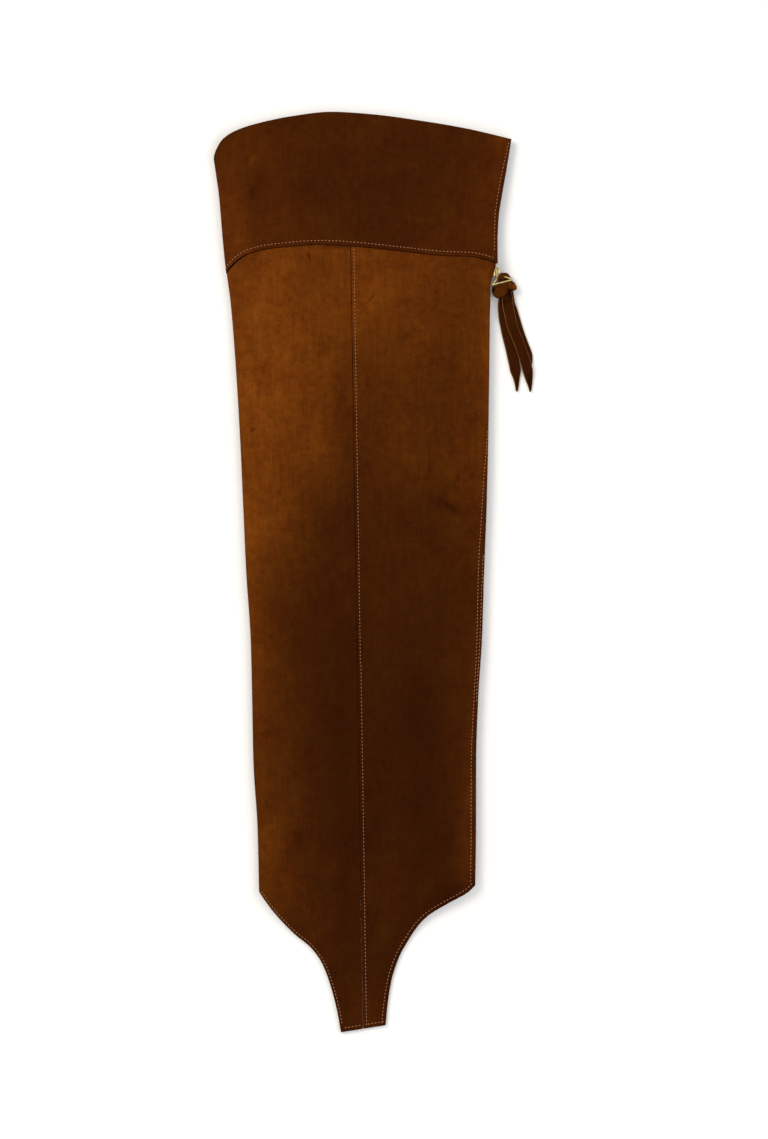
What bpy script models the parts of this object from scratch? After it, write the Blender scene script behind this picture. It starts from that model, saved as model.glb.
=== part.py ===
# An over-the-knee suede gaiter, laid flat on its back with the side zip closed.
# +X runs across the gaiter towards the zip, +Y up the leg, +Z up from the surface it lies on.
# The script works in metres. Tables are written in millimetres, and read() turns them to metres.
# The origin is the middle of the part's box, at the surface that it lies on.

import math
from bisect import bisect_right
from collections import namedtuple

import bmesh
import bpy
from mathutils import Matrix, Vector

MM = 0.001

# Cloth walls and the space between the front and back layers
SHAFT_WALL = 2.2 * MM
YOKE_WALL = 2.6 * MM
THONG_WALL = 1.4 * MM
TAPE_WALL = 0.9 * MM
LAID_GAP = 1.0 * MM
FOLD_GAP = 3.8 * MM
ZIP_GAP = 3.4 * MM
SLIT_GAP = 1.4 * MM
PIECE_GAP = 0.3 * MM
SEAM_GAP = 0.6 * MM
FOLD_SEAM_GAP = 2.4 * MM
FOLD_SEAM_REACH = 30.0 * MM

# The soft fold at the left side, and the fullness beside it and beside the zip
FOLD_REACH = 9.0 * MM
FOLD_SWELL = 42.0 * MM
EDGE_FLAT = 5.0 * MM
EDGE_SWELL = 20.0 * MM
BACK_INSET = 0.5 * MM

# Levels up the leg
YOKE_LEVEL = 230.0 * MM
TOP_LEVEL = 312.0 * MM
LEFT_HEM = -236.7 * MM
RIGHT_HEM = -231.5 * MM
BACK_HEM_ARCH = 4.0 * MM
TAB_LENGTH = 104.4 * MM
TAB_SETTLE = 46.0 * MM
TAB_CLEARANCE = 0.1 * MM
SEAM_TOP = (-17.0 * MM, 243.0 * MM)
SEAM_END = (-7.8 * MM, -338.6 * MM)

# How finely the cloth is divided
LEFT_COLUMNS = 9
RIGHT_COLUMNS = 10
FRONT_COLUMNS = 20
FOLD_COLUMNS = 10
BACK_COLUMNS = 7
SHAFT_ROWS = 26
YOKE_ROWS = 7
TAB_ROWS = 14
TAB_ROW_CROWDING = 1.25

Cloth = namedtuple("Cloth", "sides wall edge_gap_top edge_gap_foot")
Sides = namedtuple("Sides", "up left right")
TabSides = namedtuple("TabSides", "drop left right")
Edge = namedtuple("Edge", "wrap up")
Crease = namedtuple("Crease", "x up long wide deep lean")
TailRow = namedtuple("TailRow", "x up wide foot")
Rim = namedtuple("Rim", "across reach")

# Collections: the part itself, and the shapes that are joined to its pieces
COLLECTION = "gaiter"
JOINED = "joined shapes"

# The laid outline of the shaft, up the leg
SHAFT_SIDES = (
    Sides(-236.0, -84.8, 75.3),
    Sides(-190.0, -85.9, 75.9),
    Sides(-140.0, -89.0, 76.0),
    Sides(-95.0, -89.9, 77.4),
    Sides(-50.0, -91.0, 80.3),
    Sides(0.0, -94.3, 81.9),
    Sides(50.0, -96.6, 83.8),
    Sides(100.0, -98.9, 85.0),
    Sides(150.0, -101.9, 85.7),
    Sides(200.0, -105.9, 86.2),
    Sides(222.0, -108.8, 86.3),
    Sides(245.0, -111.2, 86.4),
)

# The laid outline of the yoke, which flares at its slit
YOKE_SIDES = (
    Sides(205.0, -106.9, 91.8),
    Sides(222.0, -109.2, 91.8),
    Sides(245.0, -111.6, 91.8),
    Sides(262.0, -113.0, 92.6),
    Sides(280.0, -114.6, 95.3),
    Sides(297.0, -117.0, 98.3),
    Sides(321.0, -120.3, 102.2),
    Sides(341.0, -121.2, 105.2),
)

# The foot tab's outline, by its drop below the hem corners at the two sides
TAB_SIDES = (
    TabSides(0.0, -84.8, 75.3),
    TabSides(5.0, -81.5, 70.2),
    TabSides(14.0, -74.9, 54.5),
    TabSides(23.0, -67.0, 40.3),
    TabSides(32.0, -58.0, 32.0),
    TabSides(41.0, -47.0, 26.1),
    TabSides(53.0, -38.3, 19.4),
    TabSides(71.0, -31.5, 13.4),
    TabSides(89.0, -26.9, 10.5),
    TabSides(104.4, -24.1, 9.0),
)

# The yoke's edges, by distance along the cloth from the outermost line of the left fold.
# Plus is over the front and minus over the back. Both edges drop towards the back of the leg.
YOKE_TOP = (
    Edge(-223.0, 306.0),
    Edge(-170.0, 294.0),
    Edge(-110.0, 285.5),
    Edge(-60.0, 284.0),
    Edge(-30.0, 286.5),
    Edge(-11.0, 292.5),
    Edge(0.0, 305.0),
    Edge(5.0, 312.5),
    Edge(11.0, 320.5),
    Edge(20.0, 326.4),
    Edge(36.0, 332.2),
    Edge(60.0, 337.6),
    Edge(90.0, 341.1),
    Edge(120.0, 339.2),
    Edge(150.0, 335.2),
    Edge(190.0, 328.4),
    Edge(224.0, 320.4),
)
YOKE_SEAM = (
    Edge(-204.0, 229.6),
    Edge(-190.0, 227.5),
    Edge(-160.0, 219.0),
    Edge(-100.0, 212.0),
    Edge(-40.0, 214.0),
    Edge(-11.0, 218.4),
    Edge(0.0, 221.8),
    Edge(6.0, 226.6),
    Edge(13.0, 232.2),
    Edge(22.0, 236.6),
    Edge(40.0, 240.4),
    Edge(76.0, 243.0),
    Edge(94.0, 242.2),
    Edge(130.0, 238.5),
    Edge(166.0, 234.8),
    Edge(184.0, 234.2),
    Edge(194.0, 232.2),
    Edge(204.0, 228.4),
)

# Soft troughs pressed into the front, by their middle, size and lean from the leg's line
CREASES = (
    Crease(40.0, 62.0, 46.0, 9.0, 0.55, 68.0),
    Crease(34.0, 6.0, 60.0, 14.0, 0.40, 24.0),
    Crease(-58.0, 40.0, 120.0, 16.0, 0.45, 8.0),
    Crease(-48.0, -196.0, 44.0, 10.0, 0.50, 18.0),
    Crease(-36.0, -252.0, 34.0, 9.0, 0.40, 62.0),
    Crease(30.0, -150.0, 90.0, 15.0, 0.40, -12.0),
    Crease(-70.0, 285.0, 30.0, 10.0, 0.40, 52.0),
    Crease(42.0, 262.0, 54.0, 11.0, 0.35, 80.0),
)

SHAFT = Cloth(SHAFT_SIDES, SHAFT_WALL, ZIP_GAP, ZIP_GAP)
YOKE = Cloth(YOKE_SIDES, YOKE_WALL, SLIT_GAP, ZIP_GAP)

# Zip, in the slot between the front and back edges of the shaft
ZIP_TOP = 226.5 * MM
CHAIN_TOP = 219.3 * MM
ZIP_FOOT = -229.5 * MM
ZIP_ROWS = 22
CHAIN_OUT = 1.0 * MM
CHAIN_IN = 3.4 * MM
TAPE_OUT = 3.7 * MM
TAPE_IN = 8.8 * MM
SLIDER_LEVEL = 223.5 * MM
SLIDER_FOOT = 4.0 * MM
SLIDER_HEAD = 4.0 * MM
SLIDER_WIDE = 3.4 * MM
SLIDER_NARROW = 2.5 * MM
SLIDER_DEEP = 3.1 * MM
SLIDER_BEVEL = 0.4 * MM
NECK_REACH = 3.4 * MM
NECK_SIZE = (5.0 * MM, 6.0 * MM, 2.2 * MM)
BAIL_RADIUS = 3.0 * MM
BAIL_WIRE = 0.6 * MM

# The puller: an eye through the slider's bail, and a four-sided wire ring
HINGE = Vector((91.0, 223.5, 3.9)) * MM
EYE_REACH = 5.2 * MM
EYE_HALF = 1.5 * MM
EYE_WIRE = 0.55 * MM
RING_WIRE = 0.65 * MM
RING_TOP_UP = 218.2 * MM
RING_TOP_HEIGHT = 4.5 * MM
RING_CORNERS = (
    Vector((91.5 * MM, RING_TOP_UP, RING_TOP_HEIGHT)),
    Vector((104.3 * MM, RING_TOP_UP, RING_TOP_HEIGHT)),
    Vector((104.7, 215.3, 6.4)) * MM,
    Vector((89.4, 211.0, 6.4)) * MM,
)
RING_FILLET = 1.0 * MM

# The thong: a loop over the ring's upper side, a wrap round its legs, and three tails
LOOP_LEFT = 92.7 * MM
LOOP_RIGHT = 103.1 * MM
LOOP_BACK_RIGHT = 105.8 * MM
LOOP_END_UP = 209.0 * MM
LOOP_DIP_UP = 215.8 * MM
LOOP_BULGE_UP = 216.4 * MM
LOOP_GATHER_UP = 214.2 * MM
FRONT_LEG = 4.65 * MM
BACK_LEG = 2.85 * MM
WRAP_MIDDLE = Vector((97.8, 208.5, 3.8)) * MM
WRAP_LEAN = 16.0
WRAP_HEAD = 3.7 * MM
WRAP_HALF_WIDE = 9.7 * MM
WRAP_HALF_THICK = 3.5 * MM
WRAP_END_SCALE = 0.97
WRAP_FOOT = (
    Rim(-9.7, 1.2),
    Rim(-8.0, 3.2),
    Rim(-5.2, 4.6),
    Rim(-2.0, 4.3),
    Rim(1.5, 3.1),
    Rim(5.0, 2.4),
    Rim(9.7, 2.0),
)
TAIL_LEFT = (
    TailRow(95.4, 208.3, 5.4, 2.15),
    TailRow(95.8, 203.2, 6.1, 2.15),
    TailRow(95.7, 199.5, 7.0, 1.9),
    TailRow(96.4, 191.0, 7.8, 1.1),
    TailRow(97.8, 183.3, 8.0, 0.4),
    TailRow(101.8, 166.4, 8.2, 0.4),
    TailRow(105.2, 151.0, 8.2, 0.4),
    TailRow(106.1, 144.2, 5.2, 0.4),
    TailRow(106.5, 137.6, 2.8, 0.4),
    TailRow(106.4, 134.4, 1.4, 0.4),
)
TAIL_RIGHT = (
    TailRow(98.4, 208.3, 7.4, 3.95),
    TailRow(99.2, 203.0, 8.2, 3.95),
    TailRow(99.6, 198.0, 8.4, 3.95),
    TailRow(101.2, 190.5, 8.2, 3.0),
    TailRow(102.9, 183.0, 8.0, 2.2),
    TailRow(107.4, 171.5, 8.0, 2.2),
    TailRow(111.6, 159.6, 8.0, 2.2),
    TailRow(114.2, 150.5, 8.0, 1.9),
    TailRow(115.4, 143.6, 5.8, 0.9),
    TailRow(116.3, 137.0, 2.6, 0.4),
    TailRow(116.4, 134.2, 1.3, 0.4),
)
TAIL_UNDER = (
    TailRow(101.4, 208.3, 4.8, 2.15),
    TailRow(101.9, 203.4, 5.0, 2.15),
    TailRow(102.5, 199.0, 5.8, 1.7),
    TailRow(103.5, 195.0, 6.6, 1.2),
    TailRow(106.3, 184.2, 7.4, 0.4),
    TailRow(110.3, 172.3, 7.4, 0.4),
    TailRow(114.4, 161.6, 7.2, 0.4),
    TailRow(115.9, 156.2, 4.6, 0.4),
    TailRow(116.6, 151.6, 1.4, 0.4),
)
TAIL_STEPS = 2

# Colours of the finishes, linear
SUEDE = (0.105, 0.030, 0.005, 1.0)
SUEDE_DARK = (0.055, 0.014, 0.003, 1.0)
TAPE_BROWN = (0.030, 0.012, 0.006, 1.0)
GOLD = (0.80, 0.55, 0.20, 1.0)


def ease(share):
    """Smooth step from 0 to 1, held at both ends."""
    held = min(max(share, 0.0), 1.0)
    return held * held * (3.0 - 2.0 * held)


def mix(a, b, share):
    """The value that lies that share of the way from a to b."""
    return a + (b - a) * share


def spread(count):
    """Evenly spaced shares from 0 to 1."""
    return [i / count for i in range(count + 1)]


def slope_at(keys, values, i):
    """Slope of the smooth curve at a table's row, flat at a peak so that it never overshoots."""
    steps = [
        (values[j + 1] - values[j]) / (keys[j + 1] - keys[j])
        for j in (i - 1, i)
        if 0 <= j < len(keys) - 1
    ]
    if len(steps) == 1:
        return steps[0]
    if steps[0] * steps[1] <= 0:
        return 0.0
    return 2.0 * steps[0] * steps[1] / (steps[0] + steps[1])


def read(table, column, at):
    """A column's value, in metres, on the smooth curve through a table's rows."""
    keys = [row[0] * MM for row in table]
    values = [getattr(row, column) * MM for row in table]
    i = min(max(bisect_right(keys, at) - 1, 0), len(keys) - 2)
    low, high = slope_at(keys, values, i), slope_at(keys, values, i + 1)
    if at < keys[0]:
        return values[0] + low * (at - keys[0])
    if at > keys[-1]:
        return values[-1] + high * (at - keys[-1])
    span = keys[i + 1] - keys[i]
    t = (at - keys[i]) / span
    blend = ease(t)
    bend_low = t * (1.0 - t) ** 2 * span * low
    bend_high = t * t * (t - 1.0) * span * high
    return mix(values[i], values[i + 1], blend) + bend_low + bend_high


def seam_x(up):
    """Where the centre seam runs at a level."""
    share = (SEAM_TOP[1] - up) / (SEAM_TOP[1] - SEAM_END[1])
    return mix(SEAM_TOP[0], SEAM_END[0], share)


def crease_depth(x, up):
    """How deep the soft troughs press the front at a point."""
    deep = 0.0
    for row in CREASES:
        lean = math.radians(row.lean)
        dx, dy = x - row.x * MM, up - row.up * MM
        along = (dx * math.sin(lean) + dy * math.cos(lean)) / (row.long * MM / 2)
        across = (dx * math.cos(lean) - dy * math.sin(lean)) / (row.wide * MM / 2)
        deep = max(deep, row.deep * MM * math.exp(-(along**2) - across**2))
    return deep


def front_height(cloth, x, up, left, right):
    """Height of the front's outer face: low where the layers lie together, full at both sides."""
    from_fold = x - left - FOLD_REACH
    from_edge = right - x - EDGE_FLAT
    share = ease((up - YOKE_LEVEL) / (TOP_LEVEL - YOKE_LEVEL))
    edge_gap = mix(cloth.edge_gap_foot, cloth.edge_gap_top, share)
    gap = LAID_GAP + (FOLD_GAP - LAID_GAP) * ease(1.0 - from_fold / FOLD_SWELL)
    gap += (edge_gap - LAID_GAP) * ease(1.0 - from_edge / EDGE_SWELL)
    return 2 * cloth.wall + gap - crease_depth(x, up)


def cloth_point(cloth, zone, share, up):
    """A point of the outer face, by its zone, its share of the way across that zone and its level."""
    left, right = read(cloth.sides, "left", up), read(cloth.sides, "right", up)
    start = left + FOLD_REACH
    if zone == "fold":
        turn = math.pi * share
        full = front_height(cloth, start, up, left, right)
        x = left + FOLD_REACH * (1.0 - max(math.sin(turn), 0.0) ** (2 / 3))
        return Vector((x, up, full / 2 * (1.0 + math.cos(turn))))
    if zone == "back":
        return Vector((mix(start, right - BACK_INSET, share), up, 0.0))
    seam = seam_x(up)
    ends = {
        "left": (start, seam - PIECE_GAP / 2),
        "right": (seam + PIECE_GAP / 2, right),
        "front": (start, right),
    }[zone]
    x = mix(*ends, share)
    return Vector((x, up, front_height(cloth, x, up, left, right)))


def wrap_at(cloth, zone, share, level):
    """A column's distance along the cloth from the fold's outermost line, minus over the back."""
    turned = share if zone == "fold" else 0.0
    line = [cloth_point(cloth, "fold", mix(0.5, turned, part), level) for part in spread(24)]
    wrap = sum((after - before).length for before, after in zip(line, line[1:], strict=False))
    if zone == "fold":
        return wrap if share < 0.5 else -wrap
    point = cloth_point(cloth, zone, share, level)
    wrap += point.x - read(cloth.sides, "left", level) - FOLD_REACH
    return -wrap if zone == "back" else wrap


def hem_up(cloth, zone, share):
    """Level of the hem line, where the shaft ends and the foot tab begins."""
    point = cloth_point(cloth, zone, share, LEFT_HEM)
    left, right = read(cloth.sides, "left", LEFT_HEM), read(cloth.sides, "right", LEFT_HEM)
    across = (point.x - left) / (right - left)
    arch = BACK_HEM_ARCH * math.sin(math.pi * share) if zone == "back" else 0.0
    return mix(LEFT_HEM, RIGHT_HEM, across) + arch


def shaft_rows(columns):
    """Rows of points up the shaft, from the hem line to the yoke seam."""
    feet = [hem_up(SHAFT, *column) for column in columns]
    tops = []
    for column in columns:
        wrap = wrap_at(SHAFT, *column, YOKE_LEVEL)
        gap = mix(SEAM_GAP, FOLD_SEAM_GAP, ease(1.0 - abs(wrap) / FOLD_SEAM_REACH))
        tops.append(read(YOKE_SEAM, "up", wrap) - gap)
    return [
        [
            cloth_point(SHAFT, *column, mix(foot, top, share))
            for column, foot, top in zip(columns, feet, tops, strict=True)
        ]
        for share in spread(SHAFT_ROWS)
    ]


def tab_line(drop):
    """Left end, seam crossing and right end of the foot tab's line at a drop below the hem corners."""
    left = Vector((read(TAB_SIDES, "left", drop), LEFT_HEM - drop))
    right = Vector((read(TAB_SIDES, "right", drop), RIGHT_HEM - drop))
    level = left.y
    for _ in range(2):
        share = (seam_x(level) - left.x) / (right.x - left.x)
        level = mix(left.y, right.y, share)
    return left, Vector((seam_x(level), level)), right


def tab_rows(hem_row, side):
    """Rows of points down the foot tab, the lowest first, which go on from the shaft's hem row."""
    outer_end, seam_end = (0, -1) if side == "left" else (-1, 0)
    width = hem_row[outer_end].x - hem_row[seam_end].x
    shares = [(point.x - hem_row[seam_end].x) / width for point in hem_row]
    flat = SHAFT_WALL + TAB_CLEARANCE
    rows = []
    for step in range(TAB_ROWS, 0, -1):
        drop = TAB_LENGTH * (step / TAB_ROWS) ** TAB_ROW_CROWDING
        left, seam, right = tab_line(drop)
        outer = left if side == "left" else right
        inner = seam + Vector((-PIECE_GAP / 2 if side == "left" else PIECE_GAP / 2, 0.0))
        settled = ease(drop / TAB_SETTLE)
        row = []
        for share, above in zip(shares, hem_row, strict=True):
            at = inner.lerp(outer, share)
            row.append(Vector((at.x, at.y, mix(above.z, flat, settled))))
        rows.append(row)
    return rows


def material(name, colour, roughness, metallic):
    """A Principled finish."""
    made = bpy.data.materials.new(name)
    made.use_nodes = True
    shader = made.node_tree.nodes["Principled BSDF"]
    shader.inputs["Base Color"].default_value = colour
    shader.inputs["Roughness"].default_value = roughness
    shader.inputs["Metallic"].default_value = metallic
    return made


def new_object(name, data, finish):
    """An object in the part's collection, with its finish."""
    made = bpy.data.objects.new(name, data)
    data.materials.append(finish)
    bpy.data.collections[COLLECTION].objects.link(made)
    return made


def smooth(mesh, angle=math.radians(40)):
    """Smooth shading with real edges kept sharp."""
    mesh.shade_smooth()
    mesh.set_sharp_from_angle(angle=angle)


def join_rows(bm, rows):
    """Faces between neighbouring rows of vertices that run left to right and bottom to top."""
    for low, high in zip(rows, rows[1:], strict=False):
        for i in range(len(low) - 1):
            bm.faces.new((low[i], low[i + 1], high[i + 1], high[i]))


def sheet(name, rows, wall, finish, tab=(), tab_from=0):
    """A cloth piece: an open surface through its rows, and a wall grown inwards from it."""
    bm = bmesh.new()
    main = [[bm.verts.new(point) for point in row] for row in rows]
    join_rows(bm, main)
    if tab:
        below = [[bm.verts.new(point) for point in row] for row in tab]
        shared = main[0][tab_from : tab_from + len(tab[0])]
        join_rows(bm, below + [shared])
    mesh = bpy.data.meshes.new(name)
    bm.to_mesh(mesh)
    bm.free()
    smooth(mesh)
    made = new_object(name, mesh, finish)
    shell = made.modifiers.new("wall", "SOLIDIFY")
    shell.thickness = wall
    shell.offset = -1.0
    shell.use_even_offset = True
    return made


def loft(name, rings, finish):
    """A closed solid through rings of points, capped at both ends."""
    bm = bmesh.new()
    made = [[bm.verts.new(point) for point in ring] for ring in rings]
    count = len(made[0])
    for low, high in zip(made, made[1:], strict=False):
        for i in range(count):
            j = (i + 1) % count
            bm.faces.new((low[i], low[j], high[j], high[i]))
    bm.faces.new(list(reversed(made[0])))
    bm.faces.new(made[-1])
    bmesh.ops.recalc_face_normals(bm, faces=bm.faces)
    mesh = bpy.data.meshes.new(name)
    bm.to_mesh(mesh)
    bm.free()
    smooth(mesh)
    return new_object(name, mesh, finish)


def wire_mesh(name, points, radius, closed):
    """A round wire along a line of points, as a closed mesh."""
    curve = bpy.data.curves.new(name, "CURVE")
    curve.dimensions = "3D"
    curve.bevel_depth = radius
    curve.bevel_resolution = 2
    curve.use_fill_caps = not closed
    line = curve.splines.new("POLY")
    line.points.add(len(points) - 1)
    for point, place in zip(line.points, points, strict=True):
        point.co = (*place, 1.0)
    line.use_cyclic_u = closed
    holder = bpy.data.objects.new(name, curve)
    bpy.context.scene.collection.objects.link(holder)
    graph = bpy.context.evaluated_depsgraph_get()
    mesh = bpy.data.meshes.new_from_object(holder.evaluated_get(graph))
    bpy.data.objects.remove(holder)
    bm = bmesh.new()
    bm.from_mesh(mesh)
    bmesh.ops.remove_doubles(bm, verts=bm.verts, dist=0.001 * MM)
    bmesh.ops.recalc_face_normals(bm, faces=bm.faces)
    bm.to_mesh(mesh)
    bm.free()
    return mesh


def fuse(target, mesh):
    """Joins another closed mesh into an object as one solid."""
    helper = bpy.data.objects.new(target.name + "_joined", mesh)
    bpy.data.collections[JOINED].objects.link(helper)
    helper.hide_render = True
    helper.display_type = "WIRE"
    union = target.modifiers.new("union", "BOOLEAN")
    union.operation = "UNION"
    union.object = helper


def filleted(corners, radius, steps=3):
    """The points of a closed loop whose corners are rounded."""
    points = []
    for i, corner in enumerate(corners):
        start = corner + (corners[i - 1] - corner).normalized() * radius
        end = corner + (corners[(i + 1) % len(corners)] - corner).normalized() * radius
        for share in spread(steps):
            points.append(start.lerp(corner, share).lerp(corner.lerp(end, share), share))
    return points


def build_shaft(finish):
    """The two shaft panels: one over the right of the front, one round the left side and the back."""
    back = [("back", share) for share in reversed(spread(BACK_COLUMNS))]
    fold = [("fold", share) for share in reversed(spread(FOLD_COLUMNS))][1:-1]
    left = [("left", share) for share in spread(LEFT_COLUMNS)]
    around = back + fold + left
    tab_from = around.index(("fold", 0.5))
    rows = shaft_rows(around)
    tab = tab_rows(rows[0][tab_from:], "left")
    sheet("shaft_left_and_back", rows, SHAFT_WALL, finish, tab, tab_from)
    rows = shaft_rows([("right", share) for share in spread(RIGHT_COLUMNS)])
    tab = tab_rows(rows[0], "right")
    sheet("shaft_front_right", rows, SHAFT_WALL, finish, tab)


def build_yoke(finish):
    """The knee band, one piece round the left fold from the slit's back edge to its front edge."""
    back = [("back", share) for share in reversed(spread(BACK_COLUMNS))]
    fold = [("fold", share) for share in reversed(spread(FOLD_COLUMNS))][1:-1]
    columns = back + fold + [("front", share) for share in spread(FRONT_COLUMNS)]
    feet = [read(YOKE_SEAM, "up", wrap_at(YOKE, *c, YOKE_LEVEL)) for c in columns]
    tops = [read(YOKE_TOP, "up", wrap_at(YOKE, *c, TOP_LEVEL)) for c in columns]
    rows = [
        [
            cloth_point(YOKE, *column, mix(foot, top, share))
            for column, foot, top in zip(columns, feet, tops, strict=True)
        ]
        for share in spread(YOKE_ROWS)
    ]
    sheet("yoke", rows, YOKE_WALL, finish)


def zip_bar(name, inner, outer, low, high, top, finish):
    """A long bar beside the shaft's right edge, between two distances in from it and two heights."""
    rings = []
    for share in spread(ZIP_ROWS):
        up = mix(ZIP_FOOT, top, share)
        edge = read(SHAFT_SIDES, "right", up)
        rings.append(
            [
                Vector((edge - inner, up, low)),
                Vector((edge - outer, up, low)),
                Vector((edge - outer, up, high)),
                Vector((edge - inner, up, high)),
            ]
        )
    return loft(name, rings, finish)


def build_zip(tape, metal):
    """Two tapes face to face, the closed chain between the cloth edges, and the slider."""
    floor = SHAFT_WALL + PIECE_GAP
    ceiling = SHAFT_WALL + ZIP_GAP - PIECE_GAP
    sag = 0.25 * MM
    low_tape = (floor, floor + TAPE_WALL)
    high_tape = (ceiling - sag - TAPE_WALL, ceiling - sag)
    zip_bar("zip_tape_back", TAPE_IN, TAPE_OUT, *low_tape, ZIP_TOP, tape)
    zip_bar("zip_tape_front", TAPE_IN, TAPE_OUT, *high_tape, ZIP_TOP, tape)
    zip_bar("zip_chain", CHAIN_IN, CHAIN_OUT, floor, ceiling, CHAIN_TOP, metal)

    face = HINGE.x - BAIL_RADIUS * 0.37
    outline = (
        (-SLIDER_NARROW, -SLIDER_FOOT),
        (SLIDER_NARROW, -SLIDER_FOOT),
        (SLIDER_NARROW, 0.0),
        (SLIDER_WIDE, SLIDER_HEAD * 0.4),
        (SLIDER_WIDE, SLIDER_HEAD * 0.8),
        (SLIDER_WIDE * 0.7, SLIDER_HEAD),
        (-SLIDER_WIDE * 0.7, SLIDER_HEAD),
        (-SLIDER_WIDE, SLIDER_HEAD * 0.8),
        (-SLIDER_WIDE, SLIDER_HEAD * 0.4),
        (-SLIDER_NARROW, 0.0),
    )
    rings = [
        [Vector((x, SLIDER_LEVEL + up, HINGE.z + across)) for across, up in outline]
        for x in (face - SLIDER_DEEP, face)
    ]
    slider = loft("zip_slider", rings, metal)
    rounded = slider.modifiers.new("rounded", "BEVEL")
    rounded.width = SLIDER_BEVEL
    rounded.segments = 2
    bm = bmesh.new()
    bmesh.ops.create_cube(bm, size=1.0)
    middle = Vector((face - SLIDER_DEEP - NECK_REACH + NECK_SIZE[0] / 2, SLIDER_LEVEL, HINGE.z))
    bmesh.ops.transform(
        bm, matrix=Matrix.LocRotScale(middle, None, Vector(NECK_SIZE)), verts=bm.verts
    )
    neck = bpy.data.meshes.new("neck")
    bm.to_mesh(neck)
    bm.free()
    fuse(slider, neck)
    root = face - SLIDER_BEVEL
    arc = [Vector((root, SLIDER_LEVEL - BAIL_RADIUS, HINGE.z))]
    for share in spread(10):
        turn = math.pi * share
        out = BAIL_RADIUS * math.sin(turn)
        up = BAIL_RADIUS * math.cos(turn)
        arc.append(Vector((face + out, SLIDER_LEVEL - up, HINGE.z)))
    arc.append(Vector((root, SLIDER_LEVEL + BAIL_RADIUS, HINGE.z)))
    fuse(slider, wire_mesh("bail", arc, BAIL_WIRE, closed=False))


def build_ring(metal):
    """The puller's wire ring, with the upright eye that hangs it in the slider's bail."""
    ring_mesh = wire_mesh("pull_ring", filleted(RING_CORNERS, RING_FILLET), RING_WIRE, closed=True)
    smooth(ring_mesh)
    ring = new_object("pull_ring", ring_mesh, metal)
    towards = RING_CORNERS[0] - HINGE
    towards.z = 0.0
    far = HINGE + towards.normalized() * EYE_REACH
    upright = Vector((0.0, 0.0, EYE_HALF))
    corners = [HINGE + upright, far + upright, far - upright, HINGE - upright]
    fuse(ring, wire_mesh("eye", filleted(corners, 0.7 * MM, 2), EYE_WIRE, closed=True))


def strip(name, centres, widths, wall, finish):
    """A flat strap along a line of centres, its width level and its thickness square to the line."""
    rings = []
    for i, centre in enumerate(centres):
        ahead = centres[min(i + 1, len(centres) - 1)] - centres[max(i - 1, 0)]
        across = widths[i]
        thick = across.cross(ahead).normalized() * wall / 2
        rings.append(
            [
                centre - across - thick,
                centre + across - thick,
                centre + across + thick,
                centre - across + thick,
            ]
        )
    return loft(name, rings, finish)


def build_loop(finish):
    """The thong's loop: its front leg dips under the ring's lower bar, its back leg bulges out."""
    turn_radius = RING_WIRE + PIECE_GAP + THONG_WALL / 2
    over = RING_TOP_HEIGHT + turn_radius
    line = [(LOOP_END_UP, FRONT_LEG, LOOP_RIGHT), (LOOP_DIP_UP, FRONT_LEG, LOOP_RIGHT)]
    for share in (0.35, 0.7):
        level = mix(LOOP_DIP_UP, RING_TOP_UP - turn_radius * 0.5, share)
        line.append((level, mix(FRONT_LEG, over, ease(share)), LOOP_RIGHT))
    for share in spread(8):
        turn = math.pi * share
        level = RING_TOP_UP + turn_radius * math.sin(turn)
        height = RING_TOP_HEIGHT + turn_radius * math.cos(turn)
        line.append((level, height, mix(LOOP_RIGHT, LOOP_BACK_RIGHT, ease(share))))
    line.append((LOOP_BULGE_UP, BACK_LEG, LOOP_BACK_RIGHT))
    line.append((LOOP_GATHER_UP, BACK_LEG, LOOP_RIGHT))
    line.append((LOOP_END_UP, BACK_LEG, LOOP_RIGHT))
    centres = [Vector(((LOOP_LEFT + right) / 2, up, height)) for up, height, right in line]
    widths = [Vector(((right - LOOP_LEFT) / 2, 0.0, 0.0)) for _, _, right in line]
    strip("thong_loop", centres, widths, THONG_WALL, finish)


def build_wrap(finish):
    """The thong's wrap: a flattened band with a rounded foot, round the legs and the tails' heads."""
    lean = math.radians(WRAP_LEAN)
    along = Vector((math.sin(lean), -math.cos(lean), 0.0))
    across = Vector((math.cos(lean), math.sin(lean), 0.0))
    straight = WRAP_HALF_WIDE - WRAP_HALF_THICK
    rows = []
    for step, scale in ((1.0, WRAP_END_SCALE), (0.5, 1.0), (-0.5, 1.0), (-1.0, WRAP_END_SCALE)):
        row = []
        for side in (1.0, -1.0):
            for share in spread(8):
                turn = math.pi * (share - 0.5)
                wide = side * (straight + WRAP_HALF_THICK * math.cos(turn))
                high = side * WRAP_HALF_THICK * math.sin(turn)
                reach = mix(-WRAP_HEAD, read(WRAP_FOOT, "reach", wide), (step + 1.0) / 2)
                middle = WRAP_MIDDLE + along * reach
                row.append(middle + (across * wide + Vector((0.0, 0.0, high))) * scale)
        row.append(row[0])
        rows.append(list(reversed(row)))
    wrap = sheet("thong_wrap", rows, THONG_WALL, finish)
    bm = bmesh.new()
    bm.from_mesh(wrap.data)
    bmesh.ops.remove_doubles(bm, verts=bm.verts, dist=0.01 * MM)
    bm.to_mesh(wrap.data)
    bm.free()


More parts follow.
